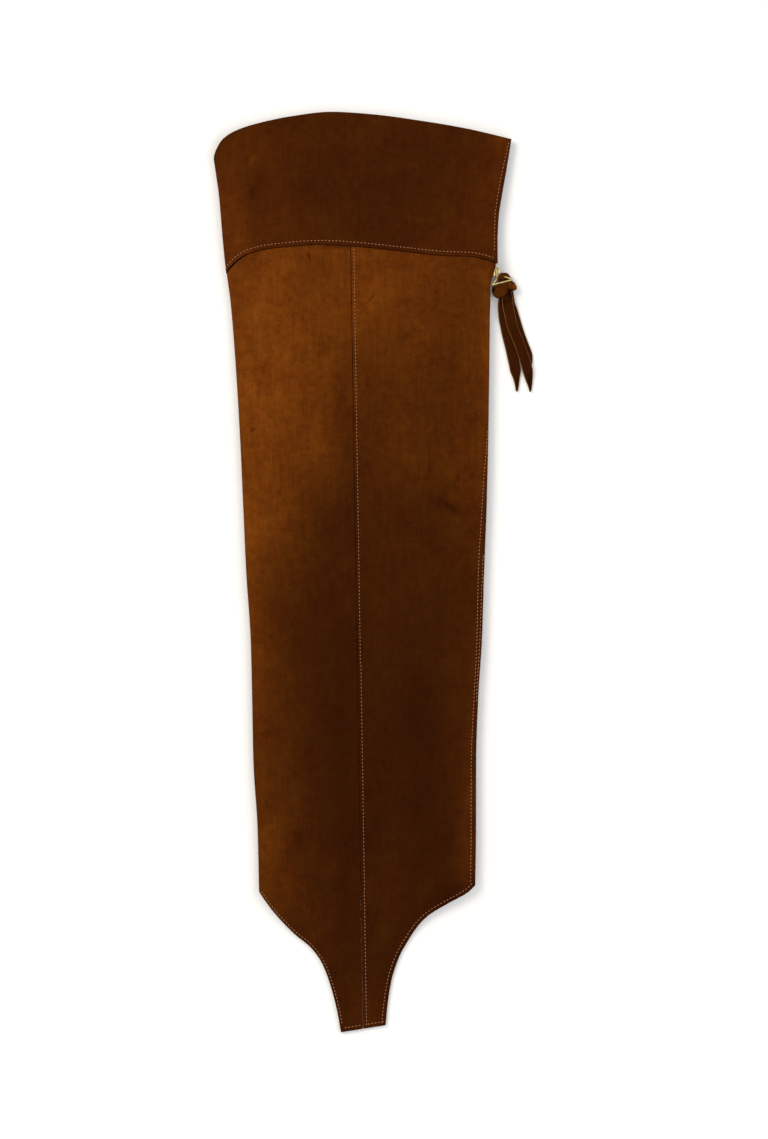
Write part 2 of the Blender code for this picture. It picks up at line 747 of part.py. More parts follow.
def build_tail(name, table, finish):
    """One tail of the thong, cut to a slanting point."""
    centres, half_widths = [], []
    for row, following in zip(table, table[1:], strict=False):
        for step in range(TAIL_STEPS):
            share = step / TAIL_STEPS
            foot = mix(row.foot, following.foot, ease(share)) * MM
            x = mix(row.x, following.x, share) * MM
            up = mix(row.up, following.up, share) * MM
            centres.append(Vector((x, up, foot + THONG_WALL / 2)))
            half_widths.append(mix(row.wide, following.wide, share) / 2 * MM)
    last = table[-1]
    centres.append(Vector((last.x * MM, last.up * MM, last.foot * MM + THONG_WALL / 2)))
    half_widths.append(last.wide / 2 * MM)
    widths = []
    for i, half in enumerate(half_widths):
        ahead = centres[min(i + 1, len(centres) - 1)] - centres[max(i - 1, 0)]
        ahead.z = 0.0
        widths.append(ahead.normalized().cross(Vector((0.0, 0.0, -1.0))) * half)
    strip(name, centres, widths, THONG_WALL, finish)


def main():
    for old in list(bpy.data.objects):
        bpy.data.objects.remove(old)
    for name in (COLLECTION, JOINED):
        group = bpy.data.collections.new(name)
        bpy.context.scene.collection.children.link(group)
    suede = material("suede", SUEDE, 0.95, 0.0)
    suede_dark = material("yoke suede", SUEDE_DARK, 0.95, 0.0)
    thong = material("thong suede", SUEDE_DARK, 0.9, 0.0)
    tape = material("zip tape", TAPE_BROWN, 0.9, 0.0)
    metal = material("gold metal", GOLD, 0.25, 1.0)
    build_shaft(suede)
    build_yoke(suede_dark)
    build_zip(tape, metal)
    build_ring(metal)
    build_loop(thong)
    build_wrap(thong)
    build_tail("thong_tail_left", TAIL_LEFT, thong)
    build_tail("thong_tail_right", TAIL_RIGHT, thong)
    build_tail("thong_tail_under", TAIL_UNDER, thong)


main()
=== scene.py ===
import math
from bisect import bisect_right
from collections import namedtuple

import bmesh
import bpy
from mathutils import Matrix, Vector, noise
from mathutils.bvhtree import BVHTree


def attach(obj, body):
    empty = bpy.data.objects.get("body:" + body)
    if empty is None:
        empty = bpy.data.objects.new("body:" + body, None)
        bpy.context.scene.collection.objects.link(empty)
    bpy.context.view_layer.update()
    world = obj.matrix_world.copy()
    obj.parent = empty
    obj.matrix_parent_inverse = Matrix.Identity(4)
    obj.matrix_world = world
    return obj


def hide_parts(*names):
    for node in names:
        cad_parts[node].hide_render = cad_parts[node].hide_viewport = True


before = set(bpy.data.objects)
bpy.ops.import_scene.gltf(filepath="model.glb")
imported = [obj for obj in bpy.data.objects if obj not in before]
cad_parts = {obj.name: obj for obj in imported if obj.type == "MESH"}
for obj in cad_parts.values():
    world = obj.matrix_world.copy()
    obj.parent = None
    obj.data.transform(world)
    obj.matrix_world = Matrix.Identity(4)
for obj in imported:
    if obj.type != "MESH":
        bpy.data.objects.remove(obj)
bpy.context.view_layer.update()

MM = 0.001

# The laid cloth, as in the part's source but for the gaps at its seams
SHAFT_WALL = 2.2 * MM
YOKE_WALL = 2.6 * MM
THONG_WALL = 1.4 * MM
LAID_GAP = 1.0 * MM
FOLD_GAP = 3.8 * MM
ZIP_GAP = 3.4 * MM
SLIT_GAP = 1.4 * MM
PIECE_GAP = 0.3 * MM
SEAM_GAP = 0.3 * MM
FOLD_SEAM_GAP = 1.3 * MM
FOLD_SEAM_REACH = 26.0 * MM
SLIT_SEAM_GAP = 0.9 * MM
SLIT_SEAM_FROM = 180.0 * MM
SLIT_SEAM_REACH = 12.0 * MM
FOLD_REACH = 9.0 * MM
FOLD_SWELL = 42.0 * MM
EDGE_FLAT = 5.0 * MM
EDGE_SWELL = 20.0 * MM
BACK_INSET = 0.5 * MM
BACK_SAG = 0.3 * MM
YOKE_LEVEL = 230.0 * MM
TOP_LEVEL = 312.0 * MM
LEFT_HEM = -236.7 * MM
RIGHT_HEM = -231.5 * MM
BACK_HEM_ARCH = 4.0 * MM
TAB_LENGTH = 104.4 * MM
TAB_SETTLE = 46.0 * MM
TAB_CLEARANCE = 0.1 * MM
SEAM_TOP = (-17.0 * MM, 243.0 * MM)
SEAM_END = (-7.8 * MM, -338.6 * MM)

# How finely the cloth is divided, by its rough sizes across and up the leg
BACK_ACROSS = 180.0 * MM
FRONT_ACROSS = 190.0 * MM
LEFT_ACROSS = 82.0 * MM
RIGHT_ACROSS = 97.0 * MM
SHAFT_TALL = 470.0 * MM
YOKE_TALL = 92.0 * MM
CLOTH_STEP = 3.6 * MM
ROW_STEP = 4.4 * MM
TAB_ROWS = 34
TAB_ROW_CROWDING = 1.25
FOLD_COLUMNS = 20

# How its edges and sewn lines are shaped, and its stitches
SEWN_EDGE = (1.7 * MM, 2.6 * MM, 3.5 * MM, 6.0 * MM)
EDGE_ROUND = 0.42 * MM
SEWN_DENT = 0.28 * MM
BACK_DENT = 0.06 * MM
STITCH_PITCH = 2.66 * MM
STITCH_LONG = 1.5 * MM
STITCH_THICK = 0.52 * MM
STITCH_REACH = 6.0 * MM
STITCH_SWAY = 0.12 * MM
SWAY_STEP = 10 / 9 * MM

Cloth = namedtuple("Cloth", "sides wall edge_gap_top edge_gap_foot")
Sides = namedtuple("Sides", "up left right")
TabSides = namedtuple("TabSides", "drop left right")
Edge = namedtuple("Edge", "wrap up")
Crease = namedtuple("Crease", "x up long wide deep lean")
Nap = namedtuple("Nap", "x up long wide tone lean")
TailRow = namedtuple("TailRow", "down x wide foot")
Rim = namedtuple("Rim", "across reach")
Fold = namedtuple("Fold", "step up left right height")
Row = namedtuple("Row", "up inside")
Lip = namedtuple("Lip", "up past")


def records(kind, *rows):
    """A table whose rows are all of one kind."""
    return tuple(kind(*row) for row in rows)


SHAFT_SIDES = records(
    Sides,
    (-236, -84.8, 75.3), (-190, -85.9, 75.9), (-140, -89, 76), (-95, -89.9, 77.4), (-50, -91, 80.3),
    (0, -94.3, 81.9), (50, -96.6, 83.8), (100, -98.9, 85), (150, -101.9, 85.7), (200, -105.9, 86.2),
    (222, -108.8, 86.3), (245, -111.2, 86.4),
)
YOKE_SIDES = records(
    Sides,
    (205, -106.9, 91.8), (222, -109.2, 91.8), (245, -111.6, 91.8), (262, -113, 92.6),
    (280, -114.6, 95.3), (297, -117, 98.3), (321, -120.3, 102.2), (341, -121.2, 105.2),
)
TAB_SIDES = records(
    TabSides,
    (0, -84.8, 75.3), (5, -81.5, 70.2), (14, -74.9, 54.5), (23, -67, 40.3), (32, -58, 32),
    (41, -47, 26.1), (53, -38.3, 19.4), (71, -31.5, 13.4), (89, -26.9, 10.5), (104.4, -24.1, 9),
)
YOKE_TOP = records(
    Edge,
    (-223, 306), (-170, 294), (-110, 285.5), (-60, 284), (-30, 286.5), (-11, 292.5), (0, 305),
    (5, 312.5), (11, 320.5), (20, 326.4), (36, 332.2), (60, 337.6), (90, 341.1), (120, 339.2),
    (150, 335.2), (190, 328.4), (224, 320.4),
)
YOKE_SEAM = records(
    Edge,
    (-204, 229.6), (-190, 227.5), (-160, 219), (-100, 212), (-40, 214), (-11, 218.4), (0, 221.8),
    (6, 226.6), (13, 232.2), (22, 236.6), (40, 240.4), (76, 243), (94, 242.2), (130, 238.5),
    (166, 234.8), (184, 234.2), (194, 232.2), (204, 228.4),
)

# How far the front's zip edge flares past the zip, up to the knee band, where it covers the slider
FRONT_LIP = records(
    Lip,
    (0, 0), (188, 0), (203, 0.3), (214, 0.3), (218.2, 1.8), (222, 3), (226, 3.9), (228.6, 4.3),
    (240, 4.3),
)

# Soft troughs of the front (deep above 0) and soft ridges (deep below 0), the last over the slider
CREASES = records(
    Crease,
    (54, 50, 34, 9, 0.5, -59),
    (34, 6, 60, 14, 0.30, 24),
    (-36, -252, 34, 9, 0.30, 62),
    (-82, 130, 210, 30, -0.9, 4),
    (-76, -60, 190, 28, -0.8, -2),
    (-50, 172, 110, 24, -0.7, 27),
    (-46, 52, 120, 22, -0.6, -14),
    (-52, -136, 120, 26, -0.8, -18),
    (-44, -216, 60, 18, -0.9, 48),
    (52, 166, 130, 28, -0.9, -12),
    (20, 112, 96, 20, -0.5, 18),
    (62, 8, 150, 24, -0.7, 7),
    (24, -74, 120, 22, -0.6, -12),
    (48, -146, 110, 24, -0.8, -16),
    (34, -214, 66, 17, -0.8, -58),
    (-70, 286, 60, 20, -0.8, 58),
    (4, 296, 90, 22, -0.7, 84),
    (66, 270, 64, 18, -0.7, 62),
    (-28, 262, 70, 14, -0.4, 76),
    (89, 228, 22, 14, -2.5, 0),
)

SHAFT = Cloth(SHAFT_SIDES, SHAFT_WALL, ZIP_GAP, ZIP_GAP)
YOKE = Cloth(YOKE_SIDES, YOKE_WALL, SLIT_GAP, ZIP_GAP)

# Rows of stitches beside the zip and the slit, by how far they lie inside the edge
ZIP_ROW = records(
    Row,
    (-229, 3.6), (-146, 3.7), (-94, 3.1), (-42, 3.9), (9, 4.3), (40, 3.6), (68, 2.8), (92, 1.3),
    (104, 0.6),
)
TAPE_ROW = records(Row, (-96, 1.2), (-42, 1.6), (12, 1.2))
SLIT_ROW = records(
    Row,
    (231, 2.3), (246, 2.4), (283, 3.1), (305, 2.6), (320, 1.5),
)

# How far the other rows of stitches lie inside their edges or seams, and where they end
YOKE_ROW_RISE = 2.8 * MM
CENTRE_INSIDE = 2.6 * MM
RIGHT_HEM_INSIDE = 2.8 * MM
LEFT_HEM_INSIDE = 1.9 * MM
BACK_HEM_INSIDE = 2.6 * MM
BACK_ZIP_INSIDE = 3.0 * MM
BACK_SLIT_INSIDE = 3.4 * MM
ZIP_ROW_TOP = 104.0 * MM
TAPE_ROW_ENDS = (-96.0 * MM, 12.0 * MM)
SLIT_ROW_ENDS = (237.6 * MM, 319.0 * MM)
CENTRE_ENDS = (-336.5 * MM, 241.0 * MM)
BACK_HEM_ENDS = (-74.0 * MM, 72.0 * MM)
BACK_ZIP_ENDS = (-228.0 * MM, 224.0 * MM)
BACK_SLIT_ENDS = (233.0 * MM, 303.0 * MM)
TAB_END = (Vector((-22.0, -337.9, 2.6)) * MM, Vector((7.2, -333.2, 2.6)) * MM)
TAB_END_GAP = (-8.4 * MM, -7.4 * MM)
FRONT_LINE = 7.9 * MM
BACK_LINE = -0.4 * MM
OVER_CLOTH = 0.4 * MM
HEM_HEIGHT = 7.5 * MM

# How light the suede's tone is: light above 0 and dark below it, over the cloth's even tone. It is
# partly the nap's own tone as brushed and partly painted light: painted highlight along the fold's
# roll and beside the zip edge, partly painted highlight over the upper left, and painted shade
# towards the centre seam with a painted shadow strip just left of it. The back lies below
# BACK_BELOW, and half the fold is longer by FOLD_EXTRA than the width it takes up.
EVEN_TONE = 0.13
YOKE_TONE = 0.17
BACK_TONE = 0.30
BACK_BELOW = 3.0 * MM
FOLD_EXTRA = 3.0 * MM
# Painted shade: how wide a strip inside the right edge is darkened, and the level below which the
# shaft's strip runs; the knee band's strip is darkened too
PAINTED_SHADE_EDGE = 1.8 * MM
PAINTED_SHADE_EDGE_TOP = 110.0 * MM
YOKE_MARKS_FROM = 244.0
NAP_AND_PAINTED_LIGHT = records(
    Nap,
    (-74, 186, 190, 104, 0.48, 4),
    (-84, 40, 260, 46, 0.20, 3),
    # Painted highlight along the fold's roll, in this row and the next two
    (-100, 90, 380, 12, 0.10, -3.6),
    (-93, 66, 110, 26, 0.17, -3),
    (-88, -60, 260, 14, 0.09, -2.5),
    (-52, 66, 120, 50, 0.10, 10),
    (-66, -62, 40, 20, -0.05, 10),
    (-78, -150, 220, 34, 0.12, 2),
    (-80, -214, 90, 34, 0.15, 4),
    (-58, -180, 130, 22, 0.05, 0),
    (-58, -240, 50, 24, 0.06, -34),
    # Painted shadow in a strip left of the centre seam
    (-24, -150, 240, 14, -0.03, -1.5),
    (-4, 216, 84, 56, 0.15, 0),
    (-38, 236, 18, 66, 0.12, 0),
    (-36, 120, 80, 18, 0.08, 4),
    (36, 200, 180, 104, 0.26, 8),
    (58, 196, 100, 26, -0.07, 4),
    (62, 110, 110, 30, 0.07, 6),
    (77, 138, 80, 22, 0.10, 0),
    (77, 229, 28, 28, 0.14, 0),
    (14, 236, 14, 60, 0.10, 4),
    (20, 20, 90, 50, 0.03, 10),
    (20, 90, 70, 40, 0.05, -20),
    (6, 66, 60, 30, 0.05, 10),
    # Painted shadow in a long strip just left of the centre seam
    (-15.5, 40, 560, 14, -0.02, -1.5),
    # Painted highlight in a narrow band beside the zip edge, where the front rises
    (84, 170, 170, 8, 0.22, -0.6),
    (68, 56, 84, 24, 0.13, 3),
    (80, 62, 130, 11, 0.12, 2),
    (58, -60, 130, 22, 0.04, 2),
    (72, -150, 200, 14, 0.08, 3),
    (70, -206, 70, 18, 0.09, 6),
    (44, -96, 260, 50, -0.02, 0),
    (14, -170, 280, 90, -0.045, 4),
    (10, -262, 70, 16, 0.03, 20),
    (60, -238, 36, 18, -0.08, 58),
    (8, -210, 60, 24, 0.03, 10),
    (-8, -324, 36, 40, 0.06, 0),
    (6, 128, 50, 20, -0.06, 30),
    (-50, 112, 46, 20, -0.06, 36),
    (-104, 296, 70, 34, 0.10, 20),
    (-104, 252, 70, 30, 0.24, -20),
    (-64, 262, 44, 56, 0.11, 30),
    (-72, 312, 40, 36, 0.06, 50),
    (84, 262, 70, 44, 0.11, 12),
    (98, 316, 50, 18, 0.16, 10),
    (40, 288, 60, 36, -0.035, 20),
    (-30, 274, 90, 60, -0.01, 70),
)

# Small marks in the nap: a scratch, a fleck and rubs, and painted shade in a wrinkle of the front
MARKS = records(
    Nap,
    (-1.8, 203.2, 17, 1.9, -1.1, 37.5),
    (-5.4, 190.6, 8, 1.8, -0.7, 28),
    (-89.6, 305.6, 22, 9, 0.9, 28.7),
    (-89.3, 105.6, 8, 5, -0.9, 40),
    (-47.8, 234.4, 13, 4.2, -0.9, -14),
    (-56, 229, 9, 4, -0.7, 10),
    (-38.7, 164, 44, 26, -0.32, 20),
    (-24.5, 128, 60, 14, -0.3, 8),
    (-52, 160, 36, 22, -0.3, -6),
    # Painted shade in the front's wrinkle, over the crease at x 54, up 50
    (55.4, 49, 52, 17, -0.9, -59),
    (42, 76, 34, 9, -0.5, 14),
    (24, 176, 30, 18, -0.4, 50),
    (-54.4, -198, 40, 22, -0.6, 12),
    (-30, -216, 30, 14, 0.5, 30),
    (18, 300, 50, 12, 0.4, 80),
    (-88, 284, 40, 14, -0.5, 30),
)

# Painted light on the thong's loop, wrap and tails: painted shadow under the wrap, painted shade in
# the folds of the wrap and loop, painted highlights on lit flanks and facets, and two dark spots
# near the tails' tips
THONG_PAINTED_LIGHT_AND_MARKS = records(
    Nap,
    (101.6, 206, 12, 12, -1.6, 20),
    (96.4, 200.6, 9, 14, -1.2, 10),
    (88.6, 209.6, 10, 6, -1.6, 10),
    (100.6, 208.6, 5, 8, -1.4, 14),
    (104.6, 212.6, 9, 5, 2.6, 16),
    (101.2, 213.2, 6, 2.6, 1.2, 12),
    (98.8, 212.4, 6, 2, -0.9, 8),
    (94.6, 217, 6, 5, -0.9, 0),
    (98.2, 220.6, 5, 5, 0.9, 30),
    (95.6, 219.2, 3, 4, 0.9, -30),
    (99.6, 216.4, 4, 6, -0.9, 0),
    (106.4, 140, 34, 16, -0.9, 0),
    (115.8, 140, 34, 14, -0.9, 0),
)

# The zip, and the puller and thong, which swing about HINGE
ZIP_FOOT = -229.5 * MM
CHAIN_TOP = 219.3 * MM
CHAIN_HEIGHTS = (2.8 * MM, 4.9 * MM)
CHAIN_DEPTHS = (1.0 * MM, 3.4 * MM)
TOOTH_PITCH = 2.0 * MM
HINGE = Vector((91.0, 223.5, 3.9)) * MM
EYE_REACH = 5.2 * MM
EYE_HALF = 1.5 * MM
EYE_WIRE = 0.55 * MM
RING_WIRE = 0.65 * MM
RING_CORNERS = (
    Vector((91.5, 218.2, 4.5)) * MM,
    Vector((95.6, 219.5, 4.5)) * MM,
    Vector((101.5, 217.6, 4.8)) * MM,
    Vector((102.2, 216.5, 6.4)) * MM,
    Vector((88.0, 213.0, 6.4)) * MM,
)
RING_FILLET = 0.8 * MM
LOOP_FOLDS = records(
    Fold,
    (0, 209, 92.7, 98.6, 4.65),
    (2, 213, 92.5, 98, 4.65),
    (3, 215.8, 92.4, 97.3, 4.65),
    (4, 217, 92.3, 97, 5.5),
    (5, 218.2, 92.3, 96.8, 6.1),
    (6, 219.3, 92.4, 96.8, 6.25),
    (7, 220.5, 93.4, 97, 6),
    (8, 221.2, 94.5, 97.6, 5.3),
    (9, 221.4, 95.1, 98.6, 4.5),
    (10, 221.2, 94.5, 99.6, 3.7),
    (11, 220.5, 93.4, 100.6, 3.05),
    (12, 219.2, 92.4, 101.5, 2.85),
    (13, 217.6, 92.4, 102.6, 2.85),
    (14, 216.6, 92.4, 103, 2.85),
    (15, 215.6, 92.5, 102.6, 2.85),
    (16, 214.6, 92.6, 102.2, 2.85),
    (18, 209, 92.7, 102.2, 2.85),
)
WRAP_MIDDLE = Vector((97.4, 208.5, 3.8)) * MM
WRAP_LEAN = 16.0
WRAP_HALF_WIDE = 9.3 * MM
WRAP_HALF_THICK = 3.5 * MM
PUCKER_STEP = 10 / 3 * MM
WRAP_HEAD = records(
    Rim,
    (-9.3, 4), (-8, 5.6), (-4, 5.8), (3, 5.5), (6.6, 5.4), (8.4, 4.6), (9.3, 2.6),
)
WRAP_FOOT = records(
    Rim,
    (-9.3, 0.9), (-7.8, 2.6), (-5.3, 4), (-2.7, 4.3), (-0.1, 3.2), (2, 1.8), (4.4, 1.3), (7.2, 1.3),
    (9.3, 1),
)
TAIL_LEFT = records(
    TailRow,
    (-208.3, 95.4, 5.4, 2.15), (-203.2, 95.8, 6.1, 2.15), (-199.5, 95.7, 7, 1.9),
    (-191, 96.4, 7.8, 1.1), (-183.3, 97.8, 8, 0.4), (-166.4, 101.8, 8.2, 0.4),
    (-151, 105.2, 8.2, 0.4), (-144.2, 106.1, 5.2, 0.4), (-137.6, 106.5, 2.8, 0.4),
    (-134.4, 106.4, 1.4, 0.4),
)
TAIL_RIGHT = records(
    TailRow,
    (-208.3, 98.4, 7.4, 3.95), (-203, 99.2, 8.2, 3.95), (-198, 99.6, 8.4, 3.95),
    (-190.5, 101.2, 8.2, 3), (-183, 102.9, 8, 2.2), (-171.5, 107.4, 8, 2.2),
    (-159.6, 111.6, 8, 2.2), (-150.5, 114.2, 8, 1.9), (-143.6, 115.4, 5.8, 0.9),
    (-137, 116.3, 2.6, 0.4), (-134.2, 116.4, 1.3, 0.4),
)
TAIL_UNDER = records(
    TailRow,
    (-208.3, 101.4, 4.8, 2.15), (-203.4, 101.9, 5, 2.15), (-199, 102.5, 5.8, 1.7),
    (-195, 103.5, 6.6, 1.2), (-184.2, 106.3, 7.4, 0.4), (-172.3, 110.3, 7.4, 0.4),
    (-161.6, 114.4, 7.2, 0.4), (-156.2, 115.9, 4.6, 0.4), (-151.6, 116.6, 1.4, 0.4),
)


def ease(share):
    """Smooth step from 0 to 1, held at both ends."""
    held = min(max(share, 0.0), 1.0)
    return held * held * (3.0 - 2.0 * held)


def mix(a, b, share):
    """The value that lies that share of the way from a to b."""
    return a + (b - a) * share


def spread(count):
    """Evenly spaced shares from 0 to 1."""
    return [i / count for i in range(count + 1)]


def slope_at(keys, values, i):
    """Slope of the smooth curve at a table's row, flat at a peak so that it never overshoots."""
    steps = [
        (values[j + 1] - values[j]) / (keys[j + 1] - keys[j])
        for j in (i - 1, i)
        if 0 <= j < len(keys) - 1
    ]
    if len(steps) == 1:
        return steps[0]
    if steps[0] * steps[1] <= 0:
        return 0.0
    return 2.0 * steps[0] * steps[1] / (steps[0] + steps[1])


def read(table, column, at):
    """A column's value, in metres, on the smooth curve through a table's rows."""
    keys = [row[0] * MM for row in table]
    values = [getattr(row, column) * MM for row in table]
    i = min(max(bisect_right(keys, at) - 1, 0), len(keys) - 2)
    low, high = slope_at(keys, values, i), slope_at(keys, values, i + 1)
    if at < keys[0]:
        return values[0] + low * (at - keys[0])
    if at > keys[-1]:
        return values[-1] + high * (at - keys[-1])
    span = keys[i + 1] - keys[i]
    t = (at - keys[i]) / span
    blend = ease(t)
    bend_low = t * (1.0 - t) ** 2 * span * low
    bend_high = t * t * (t - 1.0) * span * high
    return mix(values[i], values[i + 1], blend) + bend_low + bend_high


def seam_x(up):
    """Where the centre seam runs at a level."""
    share = (SEAM_TOP[1] - up) / (SEAM_TOP[1] - SEAM_END[1])
    return mix(SEAM_TOP[0], SEAM_END[0], share)


def soft_spot(row, x, up):
    """How strongly a table's soft spot acts at a point, from 1 at its middle."""
    lean = math.radians(row.lean)
    dx, dy = x - row.x * MM, up - row.up * MM
    along = (dx * math.sin(lean) + dy * math.cos(lean)) / (row.long * MM / 2)
    across = (dx * math.cos(lean) - dy * math.sin(lean)) / (row.wide * MM / 2)
    return math.exp(-(along**2) - across**2)


def patch(across, along, seed):
    """Unevenness from -1 to 1, in patches about one unit wide."""
    return noise.noise(Vector((across, along, seed)))


def drape(x, up):
    """How far the front's own creases and unevenness raise it at a point."""
    trough = max(max(row.deep, 0.0) * soft_spot(row, x, up) for row in CREASES)
    ridge = sum(max(-row.deep, 0.0) * soft_spot(row, x, up) for row in CREASES)
    uneven = 0.22 * patch(x / (19 * MM), up / (31 * MM), 0.7)
    return (ridge - trough + uneven) * MM


def front_height(cloth, x, up, left, right):
    """Height of the front's outer face: low where the layers lie together, full at both sides."""
    from_fold = x - left - FOLD_REACH
    from_edge = right - x - EDGE_FLAT
    share = ease((up - YOKE_LEVEL) / (TOP_LEVEL - YOKE_LEVEL))
    edge_gap = mix(cloth.edge_gap_foot, cloth.edge_gap_top, share)
    gap = LAID_GAP + (FOLD_GAP - LAID_GAP) * ease(1.0 - from_fold / FOLD_SWELL)
    gap += (edge_gap - LAID_GAP) * ease(1.0 - from_edge / EDGE_SWELL)
    return 2 * cloth.wall + gap + drape(x, up)


def cloth_point(cloth, zone, share, up):
    """A point of the outer face, by its zone, its share of the way across it and its level."""
    left, right = read(cloth.sides, "left", up), read(cloth.sides, "right", up)
    start = left + FOLD_REACH
    if zone == "fold":
        turn = math.pi * share
        full = front_height(cloth, start, up, left, right)
        x = left + FOLD_REACH * (1.0 - max(math.sin(turn), 0.0) ** (2 / 3))
        return Vector((x, up, full / 2 * (1.0 + math.cos(turn))))
    if zone == "back":
        dent = BACK_SAG * math.sin(math.pi * share) ** 2
        dent *= 1.0 + patch(share * 7.0, up / (45 * MM), 3.1)
        return Vector((mix(start, right - BACK_INSET, share), up, dent))
    seam = seam_x(up)
    ends = {
        "left": (start, seam - PIECE_GAP / 2),
        "right": (seam + PIECE_GAP / 2, right + read(FRONT_LIP, "past", up)),
        "front": (start, right),
    }[zone]
    x = mix(*ends, share)
    return Vector((x, up, front_height(cloth, x, up, left, right)))


def wrap_at(cloth, zone, share, level):
    """A column's distance along the cloth from the fold's outermost line, minus over the back."""
    turned = share if zone == "fold" else 0.0
    line = [cloth_point(cloth, "fold", mix(0.5, turned, part), level) for part in spread(24)]
    wrap = sum((after - before).length for before, after in zip(line, line[1:], strict=False))
    if zone == "fold":
        return wrap if share < 0.5 else -wrap
    point = cloth_point(cloth, zone, share, level)
    wrap += point.x - read(cloth.sides, "left", level) - FOLD_REACH
    return -wrap if zone == "back" else wrap


def hem_up(cloth, zone, share):
    """Level of the hem line, where the shaft ends and the foot tab begins."""
    point = cloth_point(cloth, zone, share, LEFT_HEM)
    left, right = read(cloth.sides, "left", LEFT_HEM), read(cloth.sides, "right", LEFT_HEM)
    across = (point.x - left) / (right - left)
    arch = BACK_HEM_ARCH * math.sin(math.pi * share) if zone == "back" else 0.0
    return mix(LEFT_HEM, RIGHT_HEM, across) + arch


def sewn_shares(length, step, first=True, last=True):
    """Shares of a length, set close beside the ends that are sewn and evenly between them."""
    low = [0.0] + [at / length for at in SEWN_EDGE if first]
    high = [1.0] + [1.0 - at / length for at in SEWN_EDGE if last]
    count = round((high[-1] - low[-1]) * length / step)
    middle = [mix(low[-1], high[-1], i / count) for i in range(1, count)]
    return low + middle + high[::-1]


def shaft_grid(columns):
    """Rows of points up the shaft, from the hem line to the yoke seam."""
    feet = [hem_up(SHAFT, *column) for column in columns]
    tops = []
    for column in columns:
        wrap = wrap_at(SHAFT, *column, YOKE_LEVEL)
        gap = mix(SEAM_GAP, FOLD_SEAM_GAP, ease(1.0 - abs(wrap) / FOLD_SEAM_REACH))
        gap = mix(gap, SLIT_SEAM_GAP, ease((wrap - SLIT_SEAM_FROM) / SLIT_SEAM_REACH))
        tops.append(read(YOKE_SEAM, "up", wrap) - gap)
    return [
        [
            cloth_point(SHAFT, *column, mix(foot, top, share))
            for column, foot, top in zip(columns, feet, tops, strict=True)
        ]
        for share in sewn_shares(SHAFT_TALL, ROW_STEP, last=False)
    ]


def tab_line(drop):
    """Left end, seam crossing and right end of the tab's line at a drop below the hem corners."""
    left = Vector((read(TAB_SIDES, "left", drop), LEFT_HEM - drop))
    right = Vector((read(TAB_SIDES, "right", drop), RIGHT_HEM - drop))
    level = left.y
    for _ in range(2):
        share = (seam_x(level) - left.x) / (right.x - left.x)
        level = mix(left.y, right.y, share)
    return left, Vector((seam_x(level), level)), right


def hem_slant(side, drop):
    """How much longer the way in from the hem is along the tab's line than square to the hem."""
    step = 1.0 * MM
    low = max(drop - step, 0.0)
    run = read(TAB_SIDES, side, drop + step) - read(TAB_SIDES, side, low)
    return min(math.hypot(1.0, run / (drop + step - low)), 2.2)


def tab_grid(hem_row, side):
    """Rows of points down the foot tab, the lowest first, which go on from the shaft's hem row."""
    outer_end, seam_end = (0, -1) if side == "left" else (-1, 0)
    full = abs(hem_row[outer_end].x - hem_row[seam_end].x)
    from_seam = [abs(point.x - hem_row[seam_end].x) for point in hem_row]
    flat = SHAFT_WALL + TAB_CLEARANCE
    keep = SEWN_EDGE[-1]
    rows = []
    for step in range(TAB_ROWS, 0, -1):
        drop = TAB_LENGTH * (step / TAB_ROWS) ** TAB_ROW_CROWDING
        left, seam, right = tab_line(drop)
        outer = left if side == "left" else right
        inner = seam + Vector((-PIECE_GAP / 2 if side == "left" else PIECE_GAP / 2, 0.0))
        width = (outer - inner).length
        slant = keep * mix(1.0, hem_slant(side, drop), ease(drop / (12.0 * MM)))
        settled = ease(drop / TAB_SETTLE)
        row = []
        for at, above in zip(from_seam, hem_row, strict=True):
            if at < keep:
                share = at / width
            elif at > full - keep:
                share = 1.0 - (full - at) * slant / keep / width
            else:
                share = mix(keep, width - slant, (at - keep) / (full - 2 * keep)) / width
            place = inner.lerp(outer, share)
            row.append(Vector((place.x, place.y, mix(above.z, flat, settled))))
        rows.append(row)
    return rows


def yoke_grid(columns):
    """Rows of points up the knee band, from its seam to its top edge."""
    feet = [read(YOKE_SEAM, "up", wrap_at(YOKE, *c, YOKE_LEVEL)) for c in columns]
    tops = [read(YOKE_TOP, "up", wrap_at(YOKE, *c, TOP_LEVEL)) for c in columns]
    return [
        [
            cloth_point(YOKE, *column, mix(foot, top, share))
            for column, foot, top in zip(columns, feet, tops, strict=True)
        ]
        for share in sewn_shares(YOKE_TALL, ROW_STEP)
    ]


def around(step, *zones):
    """Columns round the cloth, from the back's zip edge over the left fold to the front."""
    columns = [("back", s) for s in reversed(sewn_shares(BACK_ACROSS, 2 * step, first=False))]
    columns += [("fold", s) for s in reversed(spread(FOLD_COLUMNS))][1:-1]
    for zone, length in zones:
        columns += [(zone, s) for s in sewn_shares(length, step, first=False)]
    return columns


def only(piece):
    """Selects one object alone and makes it the active one."""
    bpy.ops.object.select_all(action="DESELECT")
    piece.select_set(True)
    bpy.context.view_layer.objects.active = piece


def smooth(piece, angle):
    """Shades a piece smooth across the edges that are less sharp than an angle."""
    only(piece)
    bpy.ops.object.shade_smooth_by_angle(angle=math.radians(angle))


def apply_all(piece):
    """Applies every modifier of a piece, in order."""
    only(piece)
    for modifier in list(piece.modifiers):
        bpy.ops.object.modifier_apply(modifier=modifier.name)


